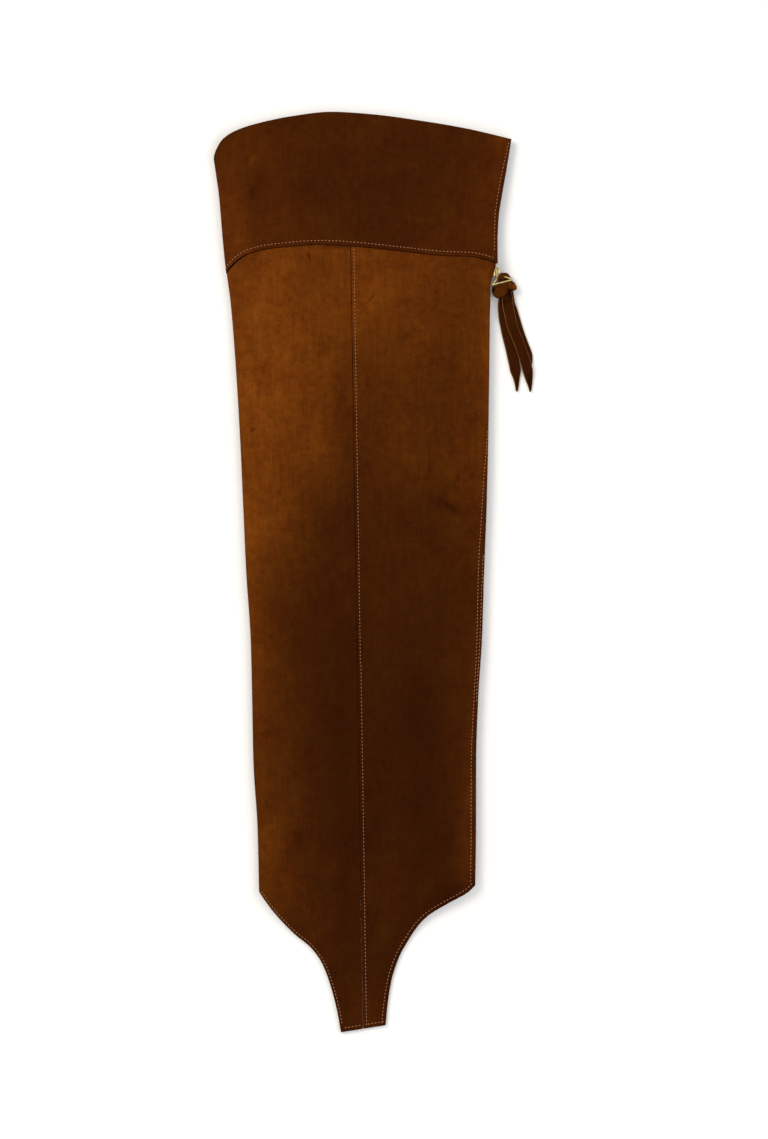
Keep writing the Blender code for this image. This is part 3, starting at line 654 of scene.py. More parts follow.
def add_piece(name, mesh, finishes, body, nodes=()):
    """A piece with its finishes, on its body, in place of its CAD nodes."""
    piece = bpy.data.objects.new(name, mesh)
    bpy.context.scene.collection.objects.link(piece)
    for finish in finishes:
        mesh.materials.append(finish)
    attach(piece, body)
    if nodes:
        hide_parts(*nodes)
    return piece


def finished_mesh(name, bm):
    """The mesh that was built up, which is then let go."""
    mesh = bpy.data.meshes.new(name)
    bm.to_mesh(mesh)
    bm.free()
    return mesh


def copy_into(bm, mesh, place):
    """Adds a copy of a mesh at a place."""
    start = len(bm.verts)
    bm.from_mesh(mesh)
    bm.verts.ensure_lookup_table()
    bmesh.ops.transform(bm, matrix=place, verts=bm.verts[start:])


def round_edges(piece, name, angle, width, segments):
    """Rounds the edges of a piece that are sharper than an angle."""
    rounded = piece.modifiers.new(name, "BEVEL")
    rounded.limit_method = "ANGLE"
    rounded.angle_limit = math.radians(angle)
    rounded.width = width
    rounded.segments = segments


def join_rows(bm, rows):
    """Faces between neighbouring rows of vertices that run left to right and bottom to top."""
    for low, high in zip(rows, rows[1:], strict=False):
        for i in range(len(low) - 1):
            bm.faces.new((low[i], low[i + 1], high[i + 1], high[i]))


def from_right_edge(x, up):
    """How far a point of the front lies in from the zip's side or from the right hem."""
    if up < RIGHT_HEM:
        drop = RIGHT_HEM - up
        return (read(TAB_SIDES, "right", drop) - x) / hem_slant("right", drop)
    sides = YOKE_SIDES if up > YOKE_LEVEL else SHAFT_SIDES
    return read(sides, "right", up) - x


def brushed(x, up, height):
    """How light the suede's tone is at a point, from 0 to 1: the nap's own tone with painted
    highlight and shade, and painted shade inside the right edge.
    """
    if height < BACK_BELOW and up > LEFT_HEM + 6 * MM:
        return BACK_TONE + 0.10 * patch(x / (60 * MM), up / (90 * MM), 5.0)
    seam = read(YOKE_SEAM, "up", x - read(YOKE_SIDES, "left", up) + FOLD_EXTRA)
    on_yoke = up > seam - SEAM_GAP
    tone = YOKE_TONE if on_yoke else EVEN_TONE
    for row in NAP_AND_PAINTED_LIGHT:
        if (row.up * MM > seam) == on_yoke:
            tone += row.tone * soft_spot(row, x, up)
    # Painted shade: the cloth darkens close inside the zip's side and the right hem, below a level
    # and on the knee band
    inside = from_right_edge(x, up)
    if up < PAINTED_SHADE_EDGE_TOP or up > YOKE_LEVEL:
        tone *= 1.0 - 0.25 * ease(2.0 - inside / PAINTED_SHADE_EDGE)
    tone *= 1.0 + 0.25 * patch(x / (34 * MM), up / (52 * MM), 1.3)
    return min(max(tone, 0.0), 1.0)


def cloth_piece(name, rows, wall, finishes, tab=(), tab_from=0):
    """A cloth panel: an open surface through its rows, with its wall, lining and rounded edges."""
    bm = bmesh.new()
    main = [[bm.verts.new(point) for point in row] for row in rows]
    join_rows(bm, main)
    if tab:
        below = [[bm.verts.new(point) for point in row] for row in tab]
        join_rows(bm, below + [main[0][tab_from : tab_from + len(tab[0])]])
    mesh = finished_mesh(name, bm)
    panel = add_piece(name, mesh, finishes, "gaiter", [name.removesuffix("_cloth")])
    shell = panel.modifiers.new("wall", "SOLIDIFY")
    shell.thickness = wall
    shell.offset = -1.0
    shell.use_even_offset = True
    shell.material_offset = 1
    shell.material_offset_rim = 2
    round_edges(panel, "turned edges", 50, EDGE_ROUND, 3)
    apply_all(panel)
    smooth(panel, 48)
    for vertex in panel.data.vertices:
        vertex.co.z = max(vertex.co.z, 0.0)
    # The nap attribute holds the suede's tone: the nap's own, with painted highlight and shade
    nap = panel.data.attributes.new("nap", "FLOAT", "POINT")
    nap.data.foreach_set("value", [brushed(*v.co) for v in panel.data.vertices])
    return panel


def dent_edges(rows, left=False, right=False, foot=False, deep=SEWN_DENT):
    """Draws the cloth in along the lines of stitches beside the edges that are sewn."""
    line = 2
    sewn = [row[line] for row in rows if left]
    sewn += [row[-1 - line] for row in rows if right]
    sewn += rows[line] if foot else []
    for point in sewn:
        point.z += -deep if point.z > 2.0 * MM else BACK_DENT


def linear(code):
    """An sRGB hex colour as linear red, green, blue and alpha."""
    parts = [int(code[i : i + 2], 16) / 255 for i in (1, 3, 5)]
    return (*[c / 12.92 if c <= 0.04045 else ((c + 0.055) / 1.055) ** 2.4 for c in parts], 1.0)


def feed(tree, node, inputs):
    """Sets or links a node's inputs."""
    for name, value in inputs.items():
        if isinstance(value, bpy.types.NodeSocket):
            tree.links.new(value, node.inputs[name])
        else:
            node.inputs[name].default_value = value


def add(tree, kind, inputs=None, **settings):
    """Adds a node with its settings, and feeds its inputs."""
    made = tree.nodes.new(kind)
    for name, value in settings.items():
        setattr(made, name, value)
    feed(tree, made, inputs or {})
    return made


def new_finish(name):
    """An empty material with its tree, Principled shader and object coordinates."""
    made = bpy.data.materials.new(name)
    made.use_nodes = True
    tree = made.node_tree
    coords = add(tree, "ShaderNodeTexCoord").outputs["Object"]
    return made, tree, tree.nodes["Principled BSDF"], coords


# How much broad patches, mottling, single fibres and brushed streaks vary the suede's tone
UNEVEN = (0.7, 1.1, 1.1, 0.6)


def brushed_suede(name, dark, light, tone=None, marks=()):
    """Brushed cow suede: a short nap that scatters light, paler where it is brushed up and where
    highlight is painted into its tone, darker where shade is.

    Its fibres, finer than 0.1 mm, are drawn 0.9 mm wide so that they show.
    """
    made, tree, shader, coords = new_finish(name)
    patches = add(tree, "ShaderNodeTexNoise",
                  {"Vector": coords, "Scale": 1 / (26 * MM), "Detail": 3.0, "Roughness": 0.6,
                   "Distortion": 0.5})
    mottle = add(tree, "ShaderNodeTexNoise",
                 {"Vector": coords, "Scale": 1 / (5.5 * MM), "Detail": 4.0, "Roughness": 0.65})
    fibre = add(tree, "ShaderNodeTexNoise",
                {"Vector": coords, "Scale": 1 / (0.9 * MM), "Detail": 2.0, "Roughness": 0.7})
    combed = add(tree, "ShaderNodeMapping", {"Vector": coords, "Scale": (1.0, 0.14, 1.0)})
    streaks = add(tree, "ShaderNodeTexNoise",
                  {"Vector": combed.outputs["Vector"], "Scale": 1 / (2.4 * MM), "Detail": 3.0})
    if tone is None:
        # The nap attribute carries painted highlight and shade as well as the nap's own tone
        tone = add(tree, "ShaderNodeAttribute", attribute_name="nap").outputs["Fac"]
    level = 1.0 - 0.5 * sum(UNEVEN)
    for amount, source in zip(UNEVEN, (patches, mottle, fibre, streaks), strict=True):
        level = add(tree, "ShaderNodeMath", {0: source.outputs["Fac"], 1: amount, 2: level},
                    operation="MULTIPLY_ADD").outputs[0]
    # Marks add spots of tone, among them painted shadow, shade and highlights
    for mark in marks:
        place = add(tree, "ShaderNodeMapping",
                    {"Vector": coords, "Location": (mark.x * MM, mark.up * MM, 0.0),
                     "Rotation": (0.0, 0.0, -math.radians(mark.lean)),
                     "Scale": (mark.wide * MM / 2, mark.long * MM / 2, 0.06)},
                    vector_type="TEXTURE")
        spot = add(tree, "ShaderNodeTexGradient", {"Vector": place.outputs["Vector"]},
                   gradient_type="QUADRATIC_SPHERE")
        level = add(tree, "ShaderNodeMath", {0: spot.outputs["Fac"], 1: mark.tone, 2: level},
                    operation="MULTIPLY_ADD").outputs[0]
    level = add(tree, "ShaderNodeMath", {0: level, 1: tone}, operation="MULTIPLY", use_clamp=True)
    ramp = add(tree, "ShaderNodeValToRGB", {"Fac": level.outputs[0]})
    ramp.color_ramp.elements[0].color = linear(dark)
    ramp.color_ramp.elements[1].color = linear(light)
    warmth = add(tree, "ShaderNodeMapRange",
                 {"Value": patches.outputs["Fac"], "From Min": 0.3, "From Max": 0.7,
                  "To Min": 0.496, "To Max": 0.502})
    hue = add(tree, "ShaderNodeHueSaturation",
              {"Hue": warmth.outputs["Result"], "Color": ramp.outputs["Color"]})
    bump = add(tree, "ShaderNodeBump",
               {"Height": mottle.outputs["Fac"], "Strength": 0.35, "Distance": 0.5 * MM})
    nap = add(tree, "ShaderNodeBump",
              {"Height": fibre.outputs["Fac"], "Strength": 0.5, "Distance": 0.25 * MM,
               "Normal": bump.outputs["Normal"]})
    feed(tree, shader,
         {"Base Color": hue.outputs["Color"], "Normal": nap.outputs["Normal"], "Roughness": 0.95,
          "Specular IOR Level": 0.03, "Sheen Weight": 0.02, "Sheen Roughness": 0.5,
          "Sheen Tint": linear("#b98a52")})
    return made


def dye_and_relief(tree, shader, pattern, dark, light, strength, depth, roughness):
    """Dyes a yarn between two shades by its pattern, which raises it too."""
    ramp = add(tree, "ShaderNodeValToRGB", {"Fac": pattern})
    ramp.color_ramp.elements[0].color = linear(dark)
    ramp.color_ramp.elements[1].color = linear(light)
    bump = add(tree, "ShaderNodeBump",
               {"Height": pattern, "Strength": strength, "Distance": depth})
    feed(tree, shader,
         {"Base Color": ramp.outputs["Color"], "Normal": bump.outputs["Normal"],
          "Roughness": roughness})


def woven_lining():
    """Plain-woven cotton lining, its threads drawn 1.2 mm apart, coarser than real, to show."""
    made, tree, shader, coords = new_finish("woven cotton lining")
    warp, weft = (
        add(tree, "ShaderNodeTexWave",
            {"Vector": coords, "Scale": 1 / (1.2 * MM) / math.pi, "Distortion": 1.0, "Detail": 2.0},
            bands_direction=way)
        for way in ("X", "Y")
    )
    cross = add(tree, "ShaderNodeMath", {0: warp.outputs["Fac"], 1: weft.outputs["Fac"]},
                operation="MULTIPLY")
    dye_and_relief(tree, shader, cross.outputs[0], "#3a2a1e", "#6a5340", 0.4, 0.2 * MM, 0.85)
    return made


def spun_thread():
    """Waxed polyester sewing thread in pale sand: a soft gleam on twisted yarn."""
    made, tree, shader, coords = new_finish("waxed polyester thread")
    twist = add(tree, "ShaderNodeTexNoise",
                {"Vector": coords, "Scale": 1 / (0.6 * MM), "Detail": 2.0})
    dye_and_relief(tree, shader, twist.outputs["Fac"], "#8a5232", "#b97f58", 0.4, 0.1 * MM, 0.6)
    return made


def woven_tape():
    """Ribbed polyester zip tape, dark brown, its ribs drawn 1 mm apart, coarser than real."""
    made, tree, shader, coords = new_finish("ribbed polyester tape")
    ribs = add(tree, "ShaderNodeTexWave",
               {"Vector": coords, "Scale": 1 / (1.0 * MM) / math.pi, "Distortion": 0.6,
                "Detail": 1.0},
               bands_direction="Y")
    dye_and_relief(tree, shader, ribs.outputs["Fac"], "#1d120c", "#3c281c", 0.5, 0.15 * MM, 0.8)
    return made


def gold_plate():
    """Pale gold plating on die-cast zinc: bright, with a fine uneven polish."""
    made, tree, shader, coords = new_finish("pale gold plate")
    wear = add(tree, "ShaderNodeTexNoise",
               {"Vector": coords, "Scale": 1 / (1.8 * MM), "Detail": 3.0})
    ramp = add(tree, "ShaderNodeValToRGB", {"Fac": wear.outputs["Fac"]})
    ramp.color_ramp.elements[0].position = 0.3
    ramp.color_ramp.elements[0].color = linear("#d9b96a")
    ramp.color_ramp.elements[1].position = 0.7
    ramp.color_ramp.elements[1].color = linear("#f3dfa4")
    rough = add(tree, "ShaderNodeMapRange",
                {"Value": wear.outputs["Fac"], "To Min": 0.16, "To Max": 0.30})
    feed(tree, shader,
         {"Base Color": ramp.outputs["Color"], "Roughness": rough.outputs["Result"],
          "Metallic": 1.0})
    return made


def stitch_shape():
    """One stitch along +X, its underside in the cloth, to be copied."""
    bpy.ops.object.select_all(action="DESELECT")
    bpy.ops.mesh.primitive_uv_sphere_add(segments=8, ring_count=6, radius=0.5,
                                         rotation=(0.0, math.pi / 2, 0.0))
    stitch = bpy.context.object
    bpy.ops.object.transform_apply(rotation=True)
    stitch.scale = (STITCH_LONG, STITCH_THICK, STITCH_THICK * 0.8)
    bpy.ops.object.transform_apply(scale=True)
    return stitch


def heading(points, i):
    """Which way a line of points runs at one of them."""
    return points[min(i + 1, len(points) - 1)] - points[max(i - 1, 0)]


def stretch_points(line, pitch):
    """Points along a line of places, a pitch apart."""
    points, left_over = [], pitch / 2
    for start, end in zip(line, line[1:], strict=False):
        run = (end - start).length
        at = left_over
        while at < run:
            points.append(start.lerp(end, at / run))
            at += pitch
        left_over = at - run
    return points


def sew(name, lines, stitch, panels, finish):
    """Rows of stitches on the panels, each laid on the cloth nearest to its line."""
    bm = bmesh.new()
    for line, panel in lines:
        tree = panels[panel]
        spots, normals = [], []
        for point in stretch_points(line, STITCH_PITCH):
            spot, normal, _, distance = tree.find_nearest(point)
            if spot is not None and distance < STITCH_REACH:
                spots.append(spot)
                normals.append(normal)
        for i, (spot, normal) in enumerate(zip(spots, normals, strict=True)):
            ahead = heading(spots, i)
            if ahead.length < 0.1 * MM:
                continue
            side = normal.cross(ahead).normalized()
            along = side.cross(normal).normalized()
            turn = Matrix((along, side, normal)).transposed().to_4x4()
            sway = noise.noise(spot / SWAY_STEP) * STITCH_SWAY
            place = Matrix.Translation(spot + side * sway + normal * 0.05 * MM) @ turn
            copy_into(bm, stitch.data, place)
    for vertex in bm.verts:
        vertex.co.z = max(vertex.co.z, 0.02 * MM)
    mesh = finished_mesh(name, bm)
    mesh.shade_smooth()
    return add_piece(name, mesh, [finish], "gaiter")


def above(x, up, height):
    """A place over the front."""
    return Vector((x, up, height))


def levels(low, high, step=6.0 * MM):
    """Levels from low to high, both ends included."""
    return [mix(low, high, share) for share in spread(max(round(abs(high - low) / step), 1))]


def inside_edge(row, low, high):
    """A line near the shaft's front, inside its right edge as a table says."""
    return [
        above(read(SHAFT_SIDES, "right", up) - read(row, "inside", up), up, FRONT_LINE)
        for up in levels(low, high)
    ]


def hem_curve(side, inside):
    """The line of stitches inside the tab's hem on one side."""
    corner = LEFT_HEM if side == "left" else RIGHT_HEM
    drops = [TAB_LENGTH * share for share in spread(60)]
    edge = [Vector((read(TAB_SIDES, side, drop), corner - drop)) for drop in drops]
    line = []
    for i, place in enumerate(edge):
        ahead = heading(edge, i).normalized()
        inward = Vector((-ahead.y, ahead.x)) if side == "left" else Vector((ahead.y, -ahead.x))
        spot = place + inward * inside
        if spot.y > SEAM_END[1] + inside:
            settled = ease((corner - place.y) / TAB_SETTLE)
            height = mix(HEM_HEIGHT, SHAFT_WALL + TAB_CLEARANCE, settled)
            line.append(above(spot.x, spot.y, height + OVER_CLOTH))
    return line


def yoke_line(rise):
    """The line of stitches over the yoke's seam, all the way round."""
    columns = around(8.0 * MM, ("front", FRONT_ACROSS))
    line = []
    for zone, share in columns:
        foot = read(YOKE_SEAM, "up", wrap_at(YOKE, zone, share, YOKE_LEVEL))
        line.append(cloth_point(YOKE, zone, share, foot + rise))
    return line[1:-1]


def seam_height(up):
    """Height of the cloth beside the centre seam at a level."""
    flat = SHAFT_WALL + TAB_CLEARANCE
    full = 2 * SHAFT_WALL + LAID_GAP
    return mix(full, flat, ease((LEFT_HEM + 2.0 * MM - up) / TAB_SETTLE)) + OVER_CLOTH


def build_cloth(finishes):
    """The yoke and the two shaft panels."""
    shaft_finishes = [finishes["body"], finishes["lining"], finishes["turned"]]
    columns = around(CLOTH_STEP, ("left", LEFT_ACROSS))
    rows = shaft_grid(columns)
    tab_from = columns.index(("fold", 0.5))
    tab = tab_grid(rows[0][tab_from:], "left")
    dent_edges(rows, left=True)
    for point in rows[2][:tab_from]:
        point.z += BACK_DENT
    dent_edges(tab, foot=True, deep=TAB_CLEARANCE)
    left = cloth_piece("shaft_left_and_back_cloth", rows, SHAFT_WALL, shaft_finishes,
                       tab, tab_from)
    columns = [("right", share) for share in sewn_shares(RIGHT_ACROSS, CLOTH_STEP)]
    rows = shaft_grid(columns)
    tab = tab_grid(rows[0], "right")
    dent_edges(rows, left=True, right=True)
    dent_edges(tab, left=True, right=True, foot=True, deep=TAB_CLEARANCE)
    right = cloth_piece("shaft_front_right_cloth", rows, SHAFT_WALL, shaft_finishes, tab)
    rows = yoke_grid(around(CLOTH_STEP, ("front", FRONT_ACROSS)))
    dent_edges(rows, left=True, right=True, foot=True)
    yoke = cloth_piece("yoke_cloth", rows, YOKE_WALL,
                       [finishes["yoke"], finishes["lining"], finishes["yoke turned"]])
    return left, right, yoke


def build_stitching(left, right, yoke, finish):
    """Every row of stitches, on the front and on the hidden back."""
    panels = {}
    for key, panel in (("left", left), ("right", right), ("yoke", yoke)):
        panels[key] = BVHTree.FromPolygons(
            [v.co.copy() for v in panel.data.vertices],
            [tuple(p.vertices) for p in panel.data.polygons],
        )
    slit_row = []
    for up in levels(*SLIT_ROW_ENDS):
        left_side, right_side = read(YOKE_SIDES, "left", up), read(YOKE_SIDES, "right", up)
        x = right_side - read(SLIT_ROW, "inside", up)
        slit_row.append(above(x, up, front_height(YOKE, x, up, left_side, right_side)))
    centre = [
        above(seam_x(up) + CENTRE_INSIDE, up, seam_height(up)) for up in levels(*CENTRE_ENDS)
    ]
    tab_end = [TAB_END[0].lerp(TAB_END[1], share) for share in spread(12)]
    back_hem = [
        Vector((mix(*BACK_HEM_ENDS, share),
                hem_up(SHAFT, "back", share) + BACK_HEM_INSIDE, BACK_LINE))
        for share in spread(30)
    ]
    back_zip, back_slit = (
        [Vector((read(sides, "right", up) - inside, up, BACK_LINE)) for up in levels(*ends)]
        for sides, inside, ends in (
            (SHAFT_SIDES, BACK_ZIP_INSIDE, BACK_ZIP_ENDS),
            (YOKE_SIDES, BACK_SLIT_INSIDE, BACK_SLIT_ENDS),
        )
    )
    stitch = stitch_shape()
    lines = [
        (yoke_line(YOKE_ROW_RISE), "yoke"),
        (slit_row, "yoke"),
        (back_slit, "yoke"),
        (inside_edge(ZIP_ROW, ZIP_FOOT, ZIP_ROW_TOP), "right"),
        (inside_edge(TAPE_ROW, *TAPE_ROW_ENDS), "right"),
        (centre, "right"),
        (hem_curve("right", RIGHT_HEM_INSIDE), "right"),
        (hem_curve("left", LEFT_HEM_INSIDE), "left"),
        (back_hem, "left"),
        (back_zip, "left"),
        ([point for point in tab_end if point.x < TAB_END_GAP[0]], "left"),
        ([point for point in tab_end if point.x > TAB_END_GAP[1]], "right"),
    ]
    sew("stitching", lines, stitch, panels, finish)
    bpy.data.objects.remove(stitch)


def build_teeth(finish):
    """The closed chain: teeth that come in turn from the front and the back tape."""
    bpy.ops.object.select_all(action="DESELECT")
    bpy.ops.mesh.primitive_cube_add(size=1.0)
    tooth = bpy.context.object
    deep = CHAIN_DEPTHS[1] - CHAIN_DEPTHS[0]
    tall = (CHAIN_HEIGHTS[1] - CHAIN_HEIGHTS[0]) * 0.62
    tooth.scale = (deep, TOOTH_PITCH * 0.42, tall)
    bpy.ops.object.transform_apply(scale=True)
    round_edges(tooth, "rounded", 30, 0.22 * MM, 2)
    apply_all(tooth)
    bm = bmesh.new()
    count = int((CHAIN_TOP - ZIP_FOOT) / TOOTH_PITCH * 2)
    for i in range(count):
        up = ZIP_FOOT + (i + 0.5) * TOOTH_PITCH / 2
        side = CHAIN_HEIGHTS[1] - tall / 2 if i % 2 else CHAIN_HEIGHTS[0] + tall / 2
        middle = read(SHAFT_SIDES, "right", up) - sum(CHAIN_DEPTHS) / 2
        copy_into(bm, tooth.data, Matrix.Translation((middle, up, side)))
    mesh = finished_mesh("zip_teeth", bm)
    bpy.data.objects.remove(tooth)
    teeth = add_piece("zip_teeth", mesh, [finish], "gaiter", ["zip_chain"])
    smooth(teeth, 40)


def filleted(corners, radius, steps=8):
    """The points of a closed loop whose corners are rounded."""
    points = []
    for i, corner in enumerate(corners):
        start = corner + (corners[i - 1] - corner).normalized() * radius
        end = corner + (corners[(i + 1) % len(corners)] - corner).normalized() * radius
        for share in spread(steps):
            points.append(start.lerp(corner, share).lerp(corner.lerp(end, share), share))
    return points


def wire_loop(name, points, radius):
    """A closed round wire through a loop of points, as a mesh object."""
    curve = bpy.data.curves.new(name, "CURVE")
    curve.dimensions = "3D"
    curve.bevel_depth = radius
    curve.bevel_resolution = 4
    line = curve.splines.new("POLY")
    line.points.add(len(points) - 1)
    for point, place in zip(line.points, points, strict=True):
        point.co = (*place, 1.0)
    line.use_cyclic_u = True
    wire = bpy.data.objects.new(name, curve)
    bpy.context.scene.collection.objects.link(wire)
    only(wire)
    bpy.ops.object.convert(target="MESH")
    return bpy.context.object


def build_ring(finish):
    """The puller's wire ring and the upright eye that hangs it in the slider's bail."""
    ring = wire_loop("ring", filleted(RING_CORNERS, RING_FILLET), RING_WIRE)
    towards = RING_CORNERS[0] - HINGE
    towards.z = 0.0
    far = HINGE + towards.normalized() * EYE_REACH
    upright = Vector((0.0, 0.0, EYE_HALF))
    corners = [HINGE + upright, far + upright, far - upright, HINGE - upright]
    eye = wire_loop("eye", filleted(corners, 0.7 * MM), EYE_WIRE)
    only(ring)
    eye.select_set(True)
    bpy.ops.object.join()
    ring.name = "pull_ring_wire"
    ring.data.materials.append(finish)
    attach(ring, "pull")
    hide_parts("pull_ring")
    smooth(ring, 50)


def strap_section(half_wide, wall, bow, slant):
    """Points round a cut strap's section: a soft crown above, and sides cut on a slant."""
    across = (-1.0, -0.65, -0.35, 0.0, 0.35, 0.65, 1.0)
    crown = half_wide - min(slant, 0.3 * half_wide)
    top = [(crown * a, wall / 2 + bow * (1.0 - a * a)) for a in across]
    under = [(half_wide * a, -wall / 2 + bow * (1.0 - a * a)) for a in reversed(across)]
    return under + top


def strap(name, centres, sides, wall, finishes, node, bow=0.0, slant=0.0):
    """A cut strip of suede along its centres, with pale edges where it is cut."""
    bm = bmesh.new()
    rings = []
    for i, centre in enumerate(centres):
        ahead = heading(centres, i)
        side = sides[i].normalized()
        up = ahead.cross(side).normalized()
        half = sides[i].length
        rings.append([
            bm.verts.new(centre + side * a + up * h)
            for a, h in strap_section(half, wall, bow, slant)
        ])
    count = len(rings[0])
    for low, high in zip(rings, rings[1:], strict=False):
        for i in range(count):
            j = (i + 1) % count
            face = bm.faces.new((low[i], low[j], high[j], high[i]))
            face.material_index = 1 if i in (6, 13) else 0
    bm.faces.new(list(reversed(rings[0]))).material_index = 1
    bm.faces.new(rings[-1]).material_index = 1
    bmesh.ops.recalc_face_normals(bm, faces=bm.faces)
    piece = add_piece(name, finished_mesh(name, bm), finishes, "pull", [node])
    round_edges(piece, "soft", 60, 0.22 * MM, 2)
    apply_all(piece)
    smooth(piece, 40)


def build_tail(name, table, finishes, node):
    """One tail of the thong, cut to a slanting point."""
    centres, widths, sides = [], [], []
    for share in spread(46):
        down = mix(table[0].down, table[-1].down, share) * MM
        x, wide, foot = (read(table, column, down) for column in ("x", "wide", "foot"))
        centres.append(Vector((x, -down, foot + THONG_WALL / 2)))
        widths.append(wide)
    for i, wide in enumerate(widths):
        up = centres[i].y
        ahead = heading(centres, i)
        ahead.z = 0.0
        uneven = 1.0 + 0.05 * patch(up / (9 * MM), len(name), 0.0)
        sides.append(ahead.normalized().cross(Vector((0.0, 0.0, -1.0))) * wide / 2 * uneven)
    strap(name, centres, sides, THONG_WALL, finishes, node, bow=0.12 * MM, slant=0.5 * MM)


def build_loop(finishes):
    """The thong's loop: up under the ring's front side, over its top and down behind it."""
    centres, sides = [], []
    for share in spread(80):
        step = share * LOOP_FOLDS[-1].step * MM
        up, left, right, height = (
            read(LOOP_FOLDS, column, step) for column in ("up", "left", "right", "height")
        )
        centres.append(Vector(((left + right) / 2, up, height)))
        sides.append(Vector(((left - right) / 2, 0.0, 0.0)))
    strap("thong_loop_cloth", centres, sides, THONG_WALL, finishes, "thong_loop")


def build_wrap(finishes):
    """The wrap: a soft band drawn tight round the loop's legs and the heads of the tails."""
    lean = math.radians(WRAP_LEAN)
    along = Vector((math.sin(lean), -math.cos(lean), 0.0))
    across = Vector((math.cos(lean), math.sin(lean), 0.0))
    straight = WRAP_HALF_WIDE - WRAP_HALF_THICK
    bm = bmesh.new()
    rows = []
    for step in (1.0, 0.88, 0.65, 0.35, 0.0, -0.35, -0.65, -0.88, -1.0):
        scale = 1.0 - 0.09 * abs(step) ** 2.6
        row = []
        for side in (1.0, -1.0):
            for share in spread(18):
                turn = math.pi * (share - 0.5)
                wide = side * (straight + WRAP_HALF_THICK * math.cos(turn))
                high = side * WRAP_HALF_THICK * math.sin(turn)
                head, foot = (read(rim, "reach", wide) for rim in (WRAP_HEAD, WRAP_FOOT))
                reach = mix(-head, foot, (step + 1.0) / 2)
                pucker = 1.0 + 0.03 * patch(wide / PUCKER_STEP, high / PUCKER_STEP, step)
                place = WRAP_MIDDLE + along * reach + across * wide * mix(scale, 1.0, 0.5)
                place += Vector((0.0, 0.0, high * scale * pucker))
                row.append(bm.verts.new(place))
        rows.append(row)
    for low, high in zip(rows, rows[1:], strict=False):
        count = len(low)
        for i in range(count):
            j = (i + 1) % count
            bm.faces.new((low[i], high[i], high[j], low[j]))
    bmesh.ops.remove_doubles(bm, verts=bm.verts, dist=0.02 * MM)
    bmesh.ops.recalc_face_normals(bm, faces=bm.faces)
    mesh = finished_mesh("thong_wrap_cloth", bm)
    wrap = add_piece("thong_wrap_cloth", mesh, finishes, "pull", ["thong_wrap"])
    shell = wrap.modifiers.new("wall", "SOLIDIFY")
    shell.thickness = THONG_WALL
    shell.offset = -1.0
    shell.material_offset_rim = 1
    round_edges(wrap, "soft", 50, 0.45 * MM, 3)
    apply_all(wrap)
    smooth(wrap, 45)


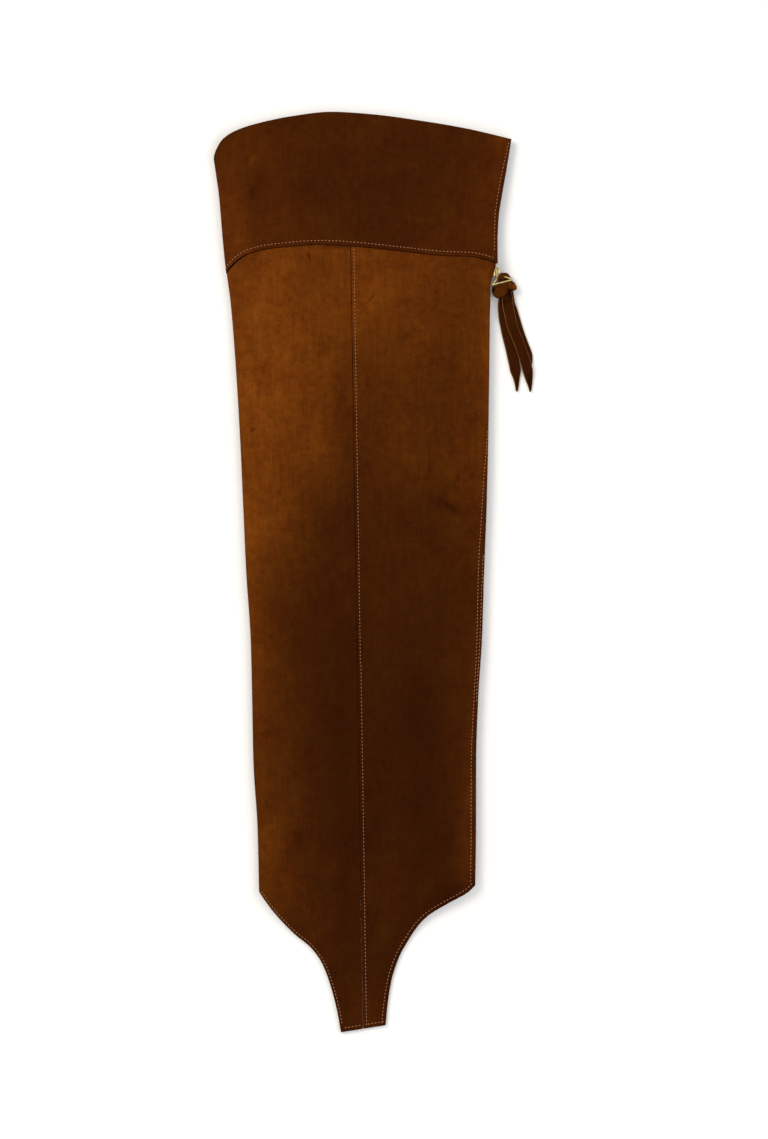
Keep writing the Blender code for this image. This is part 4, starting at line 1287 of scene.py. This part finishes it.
def build_stage():
    """A plain pale surface, soft studio light and a camera straight above."""
    bpy.ops.object.select_all(action="DESELECT")
    bpy.ops.mesh.primitive_plane_add(size=8.0, location=(0.0, 0.0, -0.0002))
    floor = bpy.context.object
    floor.name = "floor"
    made, tree, shader, _ = new_finish("matt white card")
    feed(tree, shader, {"Base Color": linear("#f4f3f1"), "Roughness": 0.9})
    floor.data.materials.append(made)
    lights = (
        ("key", (-1.1, 0.9, 1.5), 1.0, 21.5, "#fff6ea"),
        ("fill", (1.3, 0.2, 1.4), 1.2, 8.0, "#f2f5ff"),
        ("foot", (0.1, -1.6, 1.2), 1.0, 6.2, "#ffffff"),
    )
    for name, place, size, watts, colour in lights:
        bpy.ops.object.light_add(type="AREA", location=place)
        light = bpy.context.object
        light.name = name
        light.data.size = size
        light.data.energy = watts
        light.data.color = linear(colour)[:3]
        light.rotation_euler = (-Vector(place)).to_track_quat("-Z", "Y").to_euler()
    world = bpy.context.scene.world or bpy.data.worlds.new("studio")
    bpy.context.scene.world = world
    world.use_nodes = True
    tree = world.node_tree
    feed(tree, tree.nodes["Background"], {"Color": linear("#ffffff"), "Strength": 0.68})
    bpy.ops.object.camera_add(location=(0.0078, 0.0022, 2.005), rotation=(0.0, 0.0, 0.0))
    camera = bpy.context.object
    camera.data.lens = 85.34
    camera.data.sensor_width = 36.0
    bpy.context.scene.camera = camera
    bpy.context.scene.view_settings.view_transform = "Standard"


def main():
    """Sets the stage, then makes the finishes and the pieces that wear them."""
    build_stage()
    yoke_marks = [mark for mark in MARKS if mark.up > YOKE_MARKS_FROM]
    body_marks = [mark for mark in MARKS if mark.up < YOKE_MARKS_FROM]
    finishes = {
        "body": brushed_suede("brushed tobacco suede", "#200800", "#7c3f0b", marks=body_marks),
        "yoke": brushed_suede("brushed tobacco suede, darker", "#200800", "#783b0b",
                              marks=yoke_marks),
        # Painted shade: the panels' rims are dyed darker than their faces, as the turned edges fall
        # in shade
        "turned": brushed_suede("suede edge in painted shade", "#200800", "#6a2c07", tone=0.2),
        "yoke turned": brushed_suede("knee band's suede edge in painted shade, darker", "#1c0700", "#542005", tone=0.2),
        "lining": woven_lining(),
    }
    thread = spun_thread()
    # The thong's finishes carry its painted shadow and highlights; the loop and wrap's wider ramp
    # makes them stronger
    thong = brushed_suede("cut thong suede", "#1c0700", "#6a330b", tone=0.17, marks=THONG_PAINTED_LIGHT_AND_MARKS)
    cut_edge = brushed_suede("cut edge of suede", "#3c2009", "#94693a", tone=0.5)
    thong_painted_shade_and_highlight = brushed_suede("thong suede with painted shade and highlight", "#180500", "#86480f", tone=0.24,
                                  marks=THONG_PAINTED_LIGHT_AND_MARKS)
    plate = gold_plate()
    left, right, yoke = build_cloth(finishes)
    build_stitching(left, right, yoke, thread)
    build_teeth(plate)
    build_ring(plate)
    build_loop([thong_painted_shade_and_highlight, thong_painted_shade_and_highlight])
    build_wrap([thong_painted_shade_and_highlight, thong_painted_shade_and_highlight])
    tails = (("left", TAIL_LEFT), ("right", TAIL_RIGHT), ("under", TAIL_UNDER))
    for side, table in tails:
        build_tail(f"thong_tail_{side}_cloth", table, [thong, cut_edge], f"thong_tail_{side}")
    tape = woven_tape()
    for name, finish in (("zip_slider", plate), ("zip_tape_back", tape), ("zip_tape_front", tape)):
        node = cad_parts[name]
        node.data.materials.clear()
        node.data.materials.append(finish)


main()
